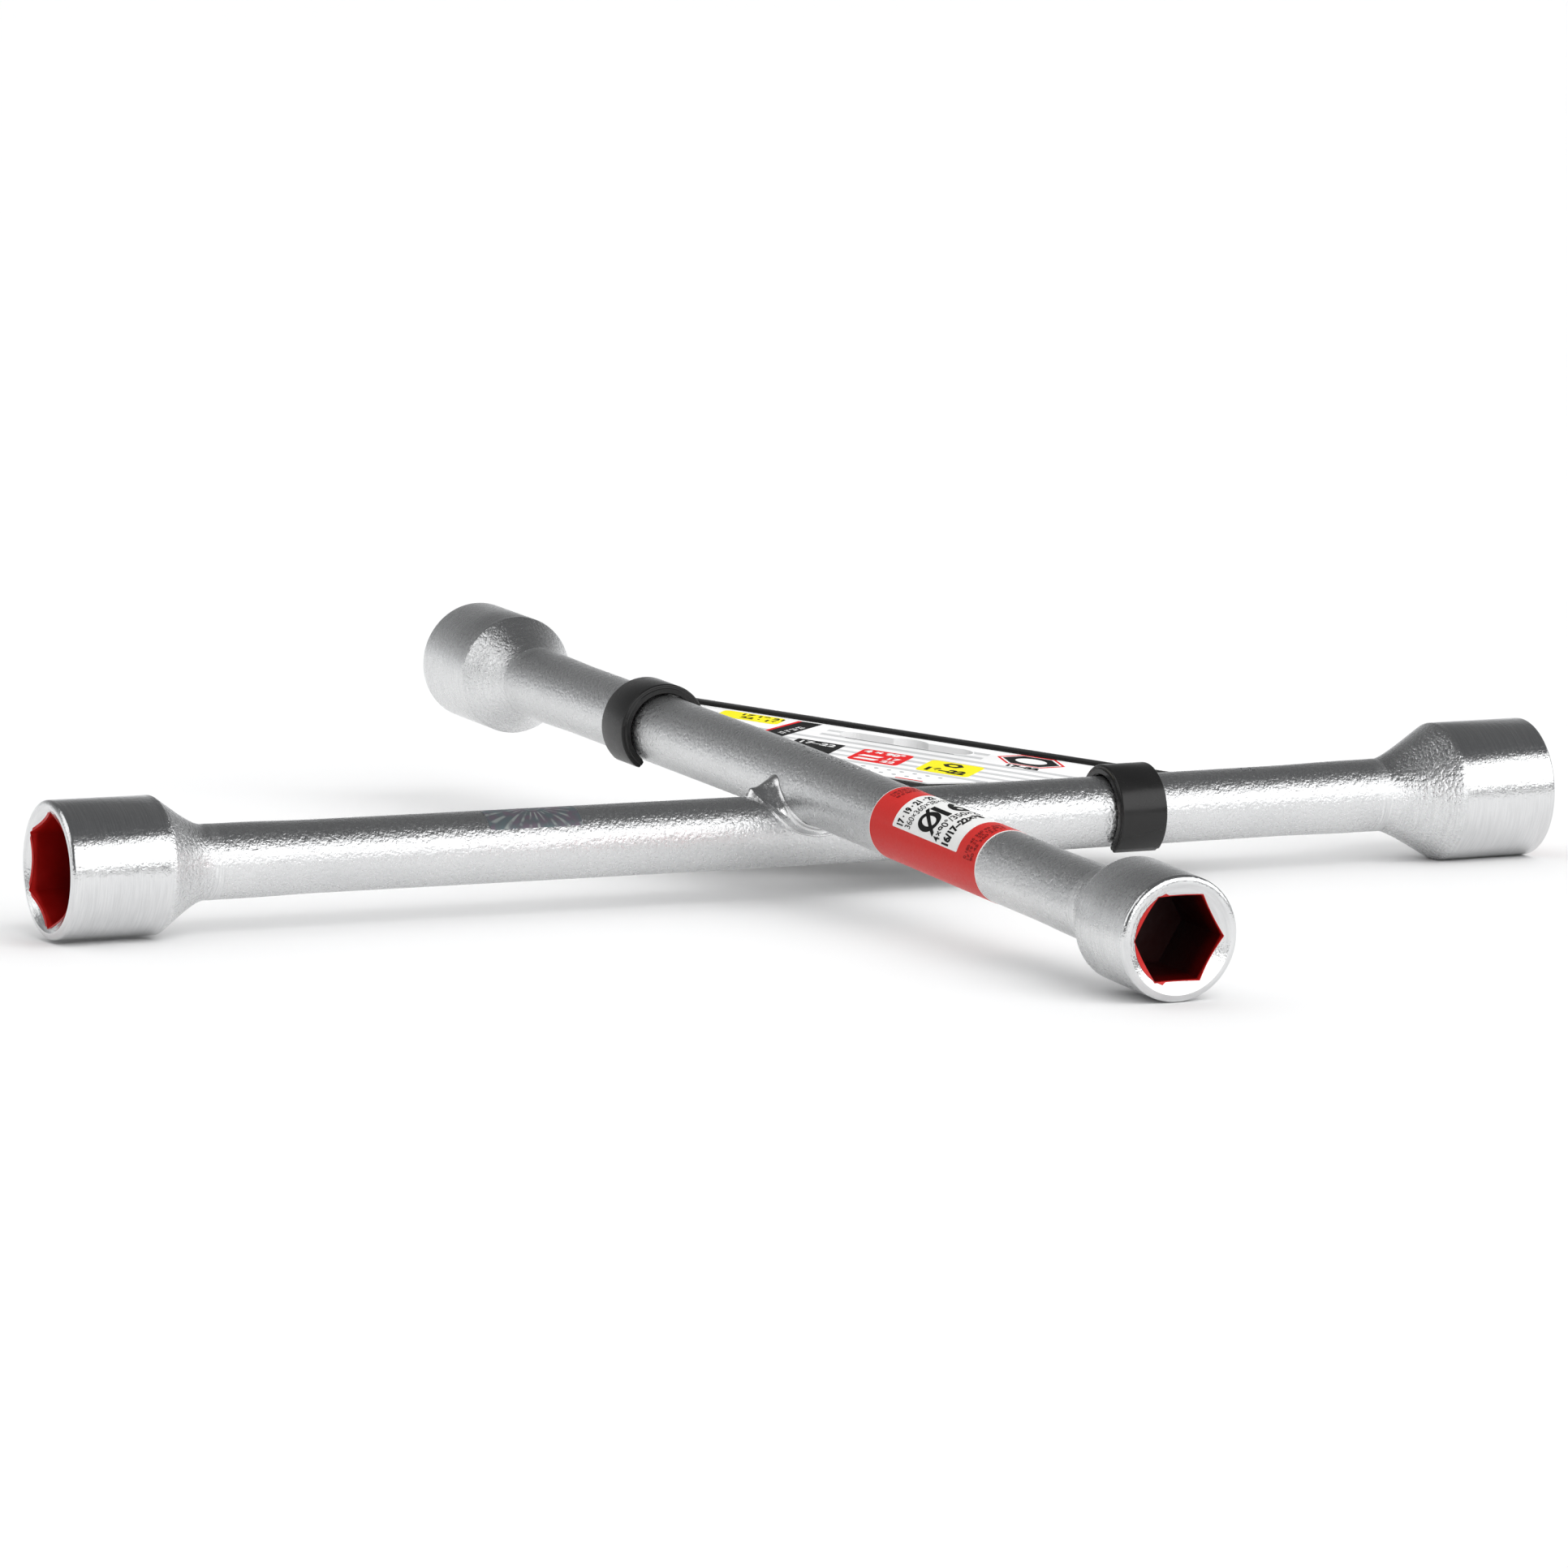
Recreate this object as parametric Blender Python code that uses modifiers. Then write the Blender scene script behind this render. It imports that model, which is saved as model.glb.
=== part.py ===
"""Four-way lug wrench: two crossed steel bars, pressed and welded into each other, with a forged
hex socket welded on each of the four ends. A clip-on plastic holder with a printed card bridges
two neighbouring arms and lifts off upwards.

Units are metres and +Z is up. The lower bar runs along X and the upper bar along Y. The origin is
on the ground, below the middle of the wrench's box.
"""

import math

import bmesh
import bpy
from mathutils import Matrix, Vector

# Bars
BAR_RADIUS = 0.0080
BAR_END = 0.1420  # from the crossing to the cut end of the bar, on every arm
BAR_SIDES_RESOLUTION = 14  # curve bevel resolution: 32 sides
AXIS_SPACING = 0.0102  # between the two bars' axes at the crossing, less than two radii
LAP_BEND = 0.0300  # the bars bend within about this distance of the crossing
UPPER_SLOPE = -0.0101  # the upper bar's arms droop towards their ends
LOWER_SLOPE = 0.0034  # the lower bar's arms rise
END_SWELL = 1.03  # the bars are slightly upset next to the neck welds
SWELL_START = 0.1200

# Gap between pieces that touch on the real wrench
GAP = 0.0003

# Neck welds between a bar and its socket
WELD_WIDTH = 0.0018
WELD_RADIUS = 0.0085

# Sockets. Each has its bar, its side of the crossing, the reach from the crossing to the mouth,
# the outer radius, the length of the straight barrel, the nut size and whether a hex corner is up.
SOCKETS = {
    "17": ("upper", -1, 0.1770, 0.0134, 0.0215, 0.0170, False),
    "19": ("upper", 1, 0.1800, 0.0138, 0.0236, 0.0190, False),
    "21": ("lower", -1, 0.1800, 0.0151, 0.0238, 0.0210, True),
    "22": ("lower", 1, 0.1830, 0.0157, 0.0236, 0.0220, True),
}
SOCKET_STEPS = 56
NECK_RADIUS = 0.0083
NUT_CLEARANCE = 0.0002  # across the flats, over the nut size
HEX_DEPTH = 0.0190
RIM_CHAMFER = 0.0009
RIM_FLAT = 0.0014  # width of the flat ring between rim chamfer and countersink
COUNTERSINK_ANGLE = math.radians(30)  # from the face of the mouth
LINING_THICKNESS = 0.0004
LINING_SETBACK = 0.0016  # the red lining starts this far inside the mouth

# Ring of metal squeezed out of the seam where the bars meet
BEAD_POINTS = 40
BEAD_REACH = 0.0098  # mean distance from the crossing, in plan
BEAD_REACH_SWING = 0.0007
BEAD_RISE = 0.0005
BEAD_RISE_SWING = 0.0044
BEAD_RADIUS = 0.0023
BEAD_RADIUS_SWING = 0.0006

# Stickers
LABEL_START = 0.0480
LABEL_END = 0.0990
STICKER_START = 0.0570
STICKER_END = 0.0790
STICKER_ANGLES = (90, 142)  # degrees, from the far side of the bar over its top
FOIL_THICKNESS = 0.0003

# Clip-on holder
CLIP_DISTANCE = 0.0798  # from the crossing to the middle of each clip
CLIP_WIDTH = 0.0120
CLIP_WALL = 0.0023
CLIP_MOUTH = 70  # degrees of the clip that are open, below the bar
PLATE_THICKNESS = 0.0016
PLATE_FRONT = 0.0260  # from the crossing, along the diagonal between the two arms
PLATE_BACK = 0.0815
PLATE_CORNER = 0.0030
RAIL_WIDTH = 0.0035
RAIL_HEIGHT = 0.0014  # above the plate
HOLDER_HEIGHT = 0.0033  # the card's face above the mean plane of the two bars
HOLDER_SLOPE = 0.0635  # down towards the lower bar
CARD_THICKNESS = 0.0004
CARD_FRONT = 0.0330
CARD_MARGIN = 0.0016  # from the plate's sides to the card's
CARD_CORNER = 0.0015
SLOT_DISTANCE = 0.0700
SLOT_LENGTH = 0.0320
SLOT_WIDTH = 0.0070
SLOT_BUMP = 0.0055
ARC_STEPS = 6

# Worked out from the above
BAR_HEIGHT = {"upper": AXIS_SPACING / 2, "lower": -AXIS_SPACING / 2}
BAR_SLOPE = {"upper": UPPER_SLOPE, "lower": LOWER_SLOPE}
BAR_AXIS = {"upper": Vector((0, 1, 0)), "lower": Vector((1, 0, 0))}
UP = Vector((0, 0, 1))


def bend(distance):
    """How far an arm's middle line has left the tangent at the crossing, per unit of slope."""
    return math.hypot(distance, LAP_BEND) - LAP_BEND


def crossing():
    """The crossing's place: centred on the wrench's box in plan, and standing on its sockets."""
    reach = {(bar, side): value for bar, side, value, *_ in SOCKETS.values()}
    x = (reach["lower", -1] - reach["lower", 1]) / 2
    y = (reach["upper", -1] - reach["upper", 1]) / 2
    bar, _, out, radius, barrel, *_ = SOCKETS["22"]
    shoulder = BAR_HEIGHT[bar] + BAR_SLOPE[bar] * (bend(out) - barrel)
    return Vector((x, y, radius - shoulder))


CROSSING = crossing()


def bar_point(bar, distance):
    """The point of a bar's middle line at a signed distance from the crossing."""
    rise = BAR_HEIGHT[bar] + BAR_SLOPE[bar] * bend(distance)
    return CROSSING + BAR_AXIS[bar] * distance + UP * rise


def arm_frame(bar, side, distance):
    """Placement on an arm: local Z points outwards along the arm and local Y upwards."""
    step = 0.001
    outwards = bar_point(bar, side * (distance + step)) - bar_point(bar, side * (distance - step))
    z = outwards.normalized()
    x = UP.cross(z).normalized()
    y = z.cross(x)
    turn = Matrix((x, y, z)).transposed().to_4x4()
    return Matrix.Translation(bar_point(bar, side * distance)) @ turn


def material(name, colour, roughness, metallic=0.0):
    made = bpy.data.materials.new(name)
    made.use_nodes = True
    shader = made.node_tree.nodes["Principled BSDF"]
    shader.inputs["Base Color"].default_value = (*colour, 1.0)
    shader.inputs["Roughness"].default_value = roughness
    shader.inputs["Metallic"].default_value = metallic
    return made


def collection(name):
    made = bpy.data.collections.new(name)
    bpy.context.scene.collection.children.link(made)
    return made


def place(obj, group, frame, finish=None, parent=None):
    """Put an object in a collection, at a placement, with a material and a parent."""
    for other in list(obj.users_collection):
        other.objects.unlink(obj)
    group.objects.link(obj)
    if parent:
        obj.parent = parent
        frame = parent.matrix_world.inverted() @ frame
    obj.matrix_basis = frame
    if finish:
        obj.data.materials.clear()
        obj.data.materials.append(finish)
    bpy.context.view_layer.update()
    return obj


def as_cutter(obj):
    obj.hide_render = True
    obj.display_type = "WIRE"
    return obj


def smooth(obj):
    obj.data.shade_smooth()
    obj.data.set_sharp_from_angle(angle=math.radians(30))
    return obj


def boolean(obj, tool, operation="DIFFERENCE"):
    modifier = obj.modifiers.new(operation.title(), "BOOLEAN")
    modifier.operation = operation
    modifier.solver = "EXACT"
    modifier.object = tool
    return obj


def curve_mesh(name, curve):
    """A mesh object with the shape of a curve, its caps welded on."""
    source = bpy.data.objects.new(name + "_curve", curve)
    bpy.context.scene.collection.objects.link(source)
    bpy.context.view_layer.update()
    evaluated = source.evaluated_get(bpy.context.evaluated_depsgraph_get())
    mesh = bpy.data.meshes.new_from_object(evaluated)
    bpy.data.objects.remove(source)
    bm = bmesh.new()
    bm.from_mesh(mesh)
    bmesh.ops.remove_doubles(bm, verts=bm.verts, dist=0.00001)
    bm.to_mesh(mesh)
    bm.free()
    obj = bpy.data.objects.new(name, mesh)
    bpy.context.scene.collection.objects.link(obj)
    return obj


def tube(name, points, radius, scales, resolution, closed=False):
    """A solid round tube along points, with its radius scaled at each of them."""
    curve = bpy.data.curves.new(name, "CURVE")
    curve.dimensions = "3D"
    curve.bevel_depth = radius
    curve.bevel_resolution = resolution
    curve.use_fill_caps = True
    spline = curve.splines.new("POLY")
    spline.points.add(len(points) - 1)
    for target, point, scale in zip(spline.points, points, scales):
        target.co = (*point, 1.0)
        target.radius = scale
    spline.use_cyclic_u = closed
    return smooth(curve_mesh(name, curve))


def sheet(name, outlines, thickness):
    """A flat piece, centred on its own XY plane. Outlines inside the first one are holes."""
    curve = bpy.data.curves.new(name, "CURVE")
    curve.dimensions = "2D"
    curve.fill_mode = "BOTH"
    curve.extrude = thickness / 2
    for outline in outlines:
        spline = curve.splines.new("POLY")
        spline.points.add(len(outline) - 1)
        for target, (x, y) in zip(spline.points, outline):
            target.co = (x, y, 0.0, 1.0)
        spline.use_cyclic_u = True
    return curve_mesh(name, curve)


def turned(name, profile, steps):
    """A solid of revolution about local Z. The profile runs from the top down the outer side."""
    mesh = bpy.data.meshes.new(name)
    vertices = [(radius, 0.0, height) for radius, height in profile]
    mesh.from_pydata(vertices, [(i, i + 1) for i in range(len(vertices) - 1)], [])
    obj = bpy.data.objects.new(name, mesh)
    bpy.context.scene.collection.objects.link(obj)
    screw = obj.modifiers.new("Screw", "SCREW")
    screw.steps = steps
    screw.render_steps = steps
    screw.use_merge_vertices = True
    screw.merge_threshold = 0.00001
    return obj


def cylinder(name, radius, depth, sides):
    bpy.ops.mesh.primitive_cylinder_add(vertices=sides, radius=radius, depth=depth)
    obj = bpy.context.active_object
    obj.name = name
    return obj


def box(name, size):
    bpy.ops.mesh.primitive_cube_add(size=1.0)
    obj = bpy.context.active_object
    obj.name = name
    obj.data.transform(Matrix.Diagonal((*size, 1.0)))
    return obj


def arc(centre, radius, start, stop, steps):
    """Points of an arc, with its angles in degrees."""
    cx, cy = centre
    angles = [math.radians(start + (stop - start) * i / steps) for i in range(steps + 1)]
    return [(cx + radius * math.cos(a), cy + radius * math.sin(a)) for a in angles]


def band_outline(inner, outer, start, stop, steps, round_ends):
    """Outline of part of a ring, between two radii and two angles in degrees."""
    middle = (inner + outer) / 2
    half = (outer - inner) / 2

    def end_cap(angle, turn):
        if not round_ends:
            return []
        centre = arc((0, 0), middle, angle, angle, 1)[0]
        return arc(centre, half, turn, turn + 180, ARC_STEPS)[1:-1]

    outside = arc((0, 0), outer, start, stop, steps)
    inside = arc((0, 0), inner, stop, start, steps)
    return outside + end_cap(stop, stop) + inside + end_cap(start, start + 180)


def rounded(corners, radius):
    """A convex outline, anticlockwise, with each corner replaced by an arc."""
    points = []
    count = len(corners)
    for i, corner in enumerate(corners):
        here = Vector(corner)
        before = (Vector(corners[i - 1]) - here).normalized()
        after = (Vector(corners[(i + 1) % count]) - here).normalized()
        half = before.angle(after) / 2
        centre = here + (before + after).normalized() * radius / math.sin(half)
        first = here + before * radius / math.tan(half) - centre
        start = math.degrees(math.atan2(first.y, first.x))
        sweep = 180 - math.degrees(2 * half)
        points += arc(centre, radius, start, start + sweep, ARC_STEPS)
    return points


def wedge(front, back, margin, corner):
    """Outline of the space between two arms, as seen from above, in the holder's own axes: local Y
    points away from the crossing, and the sides follow the arms at a margin from their middles."""
    inset = margin * math.sqrt(2)
    narrow = front - inset
    wide = back - inset
    corners = [(-narrow, front), (narrow, front), (wide, back), (-wide, back)]
    return rounded(corners, corner)


def slot_outline(grow):
    """The hang slot: a long slot with round ends and a bump in the middle of its far side."""
    half = SLOT_LENGTH / 2 - SLOT_WIDTH / 2
    radius = SLOT_WIDTH / 2 + grow
    bump = SLOT_BUMP + grow
    lean = math.degrees(math.asin(radius / bump)) if bump > radius else 90
    right = arc((half, SLOT_DISTANCE), radius, -90, 90, ARC_STEPS)
    top = arc((0, SLOT_DISTANCE), bump, lean, 180 - lean, ARC_STEPS)
    left = arc((-half, SLOT_DISTANCE), radius, 90, 270, ARC_STEPS)
    return right + top + left


def holder_frame(below):
    """Placement of the holder's pieces: local X runs from the upper bar to the lower bar, local Y
    away from the crossing, and local Z up. below is the depth under the card's face."""
    x = Vector((1, -1, -HOLDER_SLOPE * math.sqrt(2))).normalized()
    y = Vector((1, 1, 0)).normalized()
    turn = Matrix((x, y, x.cross(y))).transposed().to_4x4()
    origin = CROSSING + UP * HOLDER_HEIGHT
    return Matrix.Translation(origin) @ turn @ Matrix.Translation((0, 0, -below))


def bar(name, kind, group, finish, parent):
    """A round bar, bent a little at the crossing and slightly upset at both ends."""
    stops = [BAR_END, (BAR_END + SWELL_START) / 2, SWELL_START, 0.060, 0.030, 0.012]
    distances = [-d for d in stops] + [0.0] + stops[::-1]
    scales = [END_SWELL if abs(d) > SWELL_START else 1.0 for d in distances]
    points = [bar_point(kind, d) for d in distances]
    obj = tube(name, points, BAR_RADIUS, scales, BAR_SIDES_RESOLUTION)
    return place(obj, group, Matrix.Identity(4), finish, parent)


def bar_space(kind, group):
    """Cutter: the space that a bar takes at the crossing, with the gap around it."""
    obj = cylinder(kind + "_bar_space", BAR_RADIUS * 1.005 + GAP, 0.060, 48)
    return as_cutter(place(obj, group, arm_frame(kind, 1, 0.0)))


def lap_cutter(kind, group):
    """Cutter: that space, on its own bar's side of the plane where the two bars meet."""
    obj = cylinder(kind + "_bar_lap", BAR_RADIUS * 1.005 + GAP, 0.060, 48)
    as_cutter(place(obj, group, arm_frame(kind, 1, 0.0)))
    slab = as_cutter(box(kind + "_lap_slab", (0.080, 0.080, 0.040)))
    side = 1 if kind == "upper" else -1
    offset = UP * side * (0.020 - GAP / 2)
    place(slab, group, Matrix.Translation(CROSSING + offset))
    return boolean(obj, slab, "INTERSECT")


def socket_profile(outer, barrel, length, countersink):
    """Half section of a socket, mouth at zero, from the countersink's tip round to the neck."""
    tip = -countersink * math.tan(COUNTERSINK_ANGLE)
    return [
        (0.0, tip),
        (countersink, 0.0),
        (outer - RIM_CHAMFER, 0.0),
        (outer, -RIM_CHAMFER),
        (outer, -barrel),
        (NECK_RADIUS, -length + 0.0006),
        (NECK_RADIUS, -length),
        (0.0, -length),
    ]


def hex_cutter(name, across_flats, depth, corner_up, group, frame):
    """Cutter: a hexagonal hole of a given depth below the mouth."""
    above = 0.004
    obj = cylinder(name, across_flats / math.sqrt(3), depth + above, 6)
    turn = 0.0 if corner_up else math.radians(30)
    shift = Matrix.Translation((0, 0, (above - depth) / 2)) @ Matrix.Rotation(turn, 4, "Z")
    return as_cutter(place(obj, group, frame @ shift))


def socket(size, groups, finish, parent):
    """A forged socket: hex mouth, straight barrel and a cone down to the neck."""
    kind, side, reach, outer, barrel, nut, corner_up = SOCKETS[size]
    frame = arm_frame(kind, side, reach)
    length = reach - BAR_END - WELD_WIDTH - 2 * GAP
    countersink = outer - RIM_CHAMFER - RIM_FLAT
    obj = turned("socket_" + size, socket_profile(outer, barrel, length, countersink), SOCKET_STEPS)
    place(obj, groups["parts"], frame, finish, parent)
    hole = nut + NUT_CLEARANCE + 2 * (LINING_THICKNESS + GAP)
    depth = HEX_DEPTH + LINING_THICKNESS + GAP
    cutter = hex_cutter("hex_" + size, hole, depth, corner_up, groups["cutters"], frame)
    return boolean(obj, cutter)


def lining(size, group, finish, parent):
    """The red coat inside a socket: a hexagonal cup, open at the mouth."""
    kind, side, reach, _, _, nut, corner_up = SOCKETS[size]
    bm = bmesh.new()
    depth = HEX_DEPTH - LINING_SETBACK
    radius = (nut + NUT_CLEARANCE) / math.sqrt(3)
    bmesh.ops.create_cone(
        bm, cap_ends=True, segments=6, radius1=radius, radius2=radius, depth=depth
    )
    lid = max(bm.faces, key=lambda face: face.calc_center_median().z)
    bmesh.ops.delete(bm, geom=[lid], context="FACES_ONLY")
    mesh = bpy.data.meshes.new("lining_" + size)
    bm.to_mesh(mesh)
    bm.free()
    obj = bpy.data.objects.new("lining_" + size, mesh)
    turn = 0.0 if corner_up else math.radians(30)
    centre = -(LINING_SETBACK + HEX_DEPTH) / 2
    shift = Matrix.Translation((0, 0, centre)) @ Matrix.Rotation(turn, 4, "Z")
    place(obj, group, arm_frame(kind, side, reach) @ shift, finish, parent)
    shell = obj.modifiers.new("Solidify", "SOLIDIFY")
    shell.thickness = LINING_THICKNESS
    shell.offset = 1.0
    shell.use_even_offset = True
    return obj


def neck_weld(size, group, finish, parent):
    """The friction weld between a bar's end and its socket, ground to a low ring."""
    kind, side, *_ = SOCKETS[size]
    half = WELD_WIDTH / 2
    edge = WELD_RADIUS - 0.0003
    profile = [(0.0, half), (edge, half), (WELD_RADIUS, 0.0), (edge, -half), (0.0, -half)]
    obj = turned("neck_weld_" + size, profile, 32)
    frame = arm_frame(kind, side, BAR_END + GAP + half)
    return place(obj, group, frame, finish, parent)


def centre_weld(group, finish, parent, spaces):
    """The ring of metal squeezed out all round the seam between the bars. It is thickest and
    highest beside the upper bar and thins out below it."""
    points = []
    scales = []
    for i in range(BEAD_POINTS):
        angle = 2 * math.pi * i / BEAD_POINTS
        reach = BEAD_REACH - BEAD_REACH_SWING * math.cos(4 * angle)
        rise = BEAD_RISE + BEAD_RISE_SWING * math.cos(2 * angle)
        offset = Vector((reach * math.cos(angle), reach * math.sin(angle), rise))
        points.append(CROSSING + offset)
        scales.append(1.0 + BEAD_RADIUS_SWING / BEAD_RADIUS * math.cos(2 * angle))
    obj = tube("centre_weld", points, BEAD_RADIUS, scales, 4, closed=True)
    place(obj, group, Matrix.Identity(4), finish, parent)
    for space in spaces:
        boolean(obj, space)
    return obj


def size_label(group, finish, parent):
    """The foil label wrapped all the way round the arm of the 17 mm socket."""
    half = (LABEL_END - LABEL_START) / 2
    inner = BAR_RADIUS + GAP
    outer = inner + FOIL_THICKNESS
    profile = [(inner, half), (outer, half), (outer, -half), (inner, -half), (inner, half)]
    obj = turned("size_label", profile, 40)
    frame = arm_frame("upper", -1, (LABEL_START + LABEL_END) / 2)
    return place(obj, group, frame, finish, parent)


def foil_sticker(group, finish, parent):
    """The small foil seal on the arm of the 21 mm socket."""
    inner = BAR_RADIUS + GAP
    start, stop = STICKER_ANGLES
    outline = band_outline(inner, inner + FOIL_THICKNESS, start, stop, 10, round_ends=False)
    obj = sheet("foil_sticker", [outline], STICKER_END - STICKER_START)
    frame = arm_frame("lower", -1, (STICKER_START + STICKER_END) / 2)
    mirror = Matrix.Rotation(math.pi, 4, "Y")
    return place(obj, group, frame @ mirror, finish, parent)


def holder_clip(name, kind, group, finish, parent):
    """A C-shaped clip that snaps over a bar from above, with round lips."""
    inner = BAR_RADIUS + GAP
    start = -90 + CLIP_MOUTH / 2
    stop = 270 - CLIP_MOUTH / 2
    outline = band_outline(inner, inner + CLIP_WALL, start, stop, 36, round_ends=True)
    obj = smooth(sheet(name, [outline], CLIP_WIDTH))
    return place(obj, group, arm_frame(kind, 1, CLIP_DISTANCE), finish, parent)


def holder_plate(groups, finish, parent):
    """The plate between the clips, with a raised rail along its far edge and the hang slot."""
    margin = BAR_RADIUS + GAP + CLIP_WALL + GAP
    outline = wedge(PLATE_FRONT, PLATE_BACK, margin, PLATE_CORNER)
    obj = sheet("holder_plate", [outline, slot_outline(0.0)[::-1]], PLATE_THICKNESS)
    depth = CARD_THICKNESS + GAP
    place(obj, groups["parts"], holder_frame(depth + PLATE_THICKNESS / 2), finish, parent)
    whole = wedge(PLATE_FRONT, PLATE_BACK, margin, PLATE_CORNER)
    rail = sheet("rail_body", [whole], RAIL_HEIGHT + PLATE_THICKNESS / 2)
    rail_middle = depth - RAIL_HEIGHT / 2 + PLATE_THICKNESS / 4
    as_cutter(place(rail, groups["cutters"], holder_frame(rail_middle)))
    clear = as_cutter(box("rail_clear", (0.200, PLATE_BACK, 0.010)))
    shift = Matrix.Translation((0, PLATE_BACK / 2 - RAIL_WIDTH, 0))
    place(clear, groups["cutters"], holder_frame(depth) @ shift)
    boolean(rail, clear)
    return boolean(obj, rail, "UNION")


def info_card(group, finish, parent):
    """The printed card on the plate, in front of the rail, with the same hang slot."""
    margin = BAR_RADIUS + GAP + CLIP_WALL + GAP + CARD_MARGIN
    back = PLATE_BACK - RAIL_WIDTH - GAP
    outline = wedge(CARD_FRONT, back, margin, CARD_CORNER)
    obj = sheet("info_card", [outline, slot_outline(0.0002)[::-1]], CARD_THICKNESS)
    return place(obj, group, holder_frame(CARD_THICKNESS / 2), finish, parent)


def empty(name, location, group, parent=None):
    obj = bpy.data.objects.new(name, None)
    return place(obj, group, Matrix.Translation(location), parent=parent)


def build():
    for obj in list(bpy.data.objects):
        bpy.data.objects.remove(obj, do_unlink=True)
    groups = {"parts": collection("lug_wrench"), "cutters": collection("cutters")}
    parts = groups["parts"]
    zinc = material("zinc_plated_steel", (0.62, 0.63, 0.65), 0.32, 1.0)
    socket_zinc = material("turned_zinc_steel", (0.70, 0.71, 0.72), 0.22, 1.0)
    weld = material("weld_metal", (0.66, 0.67, 0.68), 0.25, 1.0)
    red = material("red_lacquer", (0.55, 0.02, 0.02), 0.35)
    label_red = material("label_red", (0.60, 0.04, 0.03), 0.40)
    foil = material("seal_foil", (0.72, 0.72, 0.75), 0.20, 0.9)
    plastic = material("black_plastic", (0.02, 0.02, 0.02), 0.40)
    card = material("card_white", (0.88, 0.88, 0.88), 0.45)

    root = empty("wrench_root", (0, 0, 0), parts)
    lift = empty("holder_lift", CROSSING, parts, root)

    spaces = {kind: bar_space(kind, groups["cutters"]) for kind in ("upper", "lower")}
    upper = bar("upper_bar", "upper", parts, zinc, root)
    lower = bar("lower_bar", "lower", parts, zinc, root)
    boolean(upper, lap_cutter("lower", groups["cutters"]))
    boolean(lower, lap_cutter("upper", groups["cutters"]))
    centre_weld(parts, weld, root, spaces.values())

    for size in SOCKETS:
        socket(size, groups, socket_zinc, root)
        lining(size, parts, red, root)
        neck_weld(size, parts, weld, root)

    size_label(parts, label_red, root)
    foil_sticker(parts, foil, root)
    holder_clip("holder_clip_upper", "upper", parts, plastic, lift)
    holder_clip("holder_clip_lower", "lower", parts, plastic, lift)
    holder_plate(groups, plastic, lift)
    info_card(parts, card, lift)


build()
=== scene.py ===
"""Looks of the four-way lug wrench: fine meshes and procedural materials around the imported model.

Units are metres. Two steel bars cross near the origin and carry a hex socket on each end. A
clip-on holder with a printed card lifts off upwards.
"""

import math
from contextlib import contextmanager

import bmesh
import bpy
from mathutils import Matrix, Vector, noise


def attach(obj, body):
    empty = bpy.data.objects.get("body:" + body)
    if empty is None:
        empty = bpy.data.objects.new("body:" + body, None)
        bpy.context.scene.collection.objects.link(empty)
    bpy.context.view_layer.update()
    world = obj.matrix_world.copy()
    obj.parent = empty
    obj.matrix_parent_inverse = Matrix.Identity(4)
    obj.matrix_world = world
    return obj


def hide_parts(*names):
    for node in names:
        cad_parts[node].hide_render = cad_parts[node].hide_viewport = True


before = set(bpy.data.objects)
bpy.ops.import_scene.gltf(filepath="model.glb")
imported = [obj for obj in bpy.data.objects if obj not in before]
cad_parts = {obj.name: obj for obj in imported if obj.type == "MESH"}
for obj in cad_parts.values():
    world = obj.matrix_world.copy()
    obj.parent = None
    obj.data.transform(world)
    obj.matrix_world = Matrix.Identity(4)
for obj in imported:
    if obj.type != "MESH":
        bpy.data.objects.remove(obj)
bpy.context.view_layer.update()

# The shape of the wrench, as part.py has it
BAR_RADIUS = 0.008
BAR_END = 0.142
AXIS_SPACING = 0.0102
LAP_BEND = 0.03
SLOPES = {"upper": -0.0101, "lower": 0.0034}
AXES = {"upper": Vector((0, 1, 0)), "lower": Vector((1, 0, 0))}
HEIGHTS = {"upper": AXIS_SPACING / 2, "lower": -AXIS_SPACING / 2}
CROSSING = Vector((-0.0015, -0.0015, 0.0204))
UP = Vector((0, 0, 1))
GAP = 0.0003
END_SWELL = 1.03
SWELL_SPAN = (0.118, 0.136)

# bar, side, reach, outer radius, barrel length, nut, hex corner up
SOCKETS = {
    "17": ("upper", -1, 0.177, 0.0134, 0.0215, 0.017, False),
    "19": ("upper", 1, 0.18, 0.0138, 0.0236, 0.019, False),
    "21": ("lower", -1, 0.18, 0.0151, 0.0238, 0.021, True),
    "22": ("lower", 1, 0.183, 0.0157, 0.0236, 0.022, True),
}
WELD_WIDTH = 0.0018
HEX_DEPTH = 0.019
LIP_GROWTH = 0.0011  # the hole is this much wider across flats than the nut, under the lacquer

LABEL = (0.048, 0.099)
STICKER = (0.057, 0.079)
STICKER_ANGLES = (90, 142)

CLIP_DISTANCE = 0.0798
CLIP_WIDTH = 0.012
CLIP_INNER = BAR_RADIUS + GAP
CLIP_WALL = 0.0023
CLIP_SPAN = (-55, 235)  # degrees
HOLDER_HEIGHT = 0.0033
HOLDER_SLOPE = 0.0635
PLATE_THICKNESS = 0.0016
PLATE_FRONT = 0.026
PLATE_BACK = 0.0815
PLATE_CORNER = 0.003
RAIL_WIDTH = 0.0035
RAIL_HEIGHT = 0.0011  # over the underside of the card
RAIL_SINK = 0.0008
CARD_THICKNESS = 0.0004
CARD_FRONT = 0.0305
CARD_MARGIN = 0.0004
CARD_CORNER = 0.0015
SLOT_DISTANCE = 0.07
SLOT_LENGTH = 0.032
SLOT_WIDTH = 0.007
SLOT_BUMP = 0.0055


# ---- placements


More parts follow.
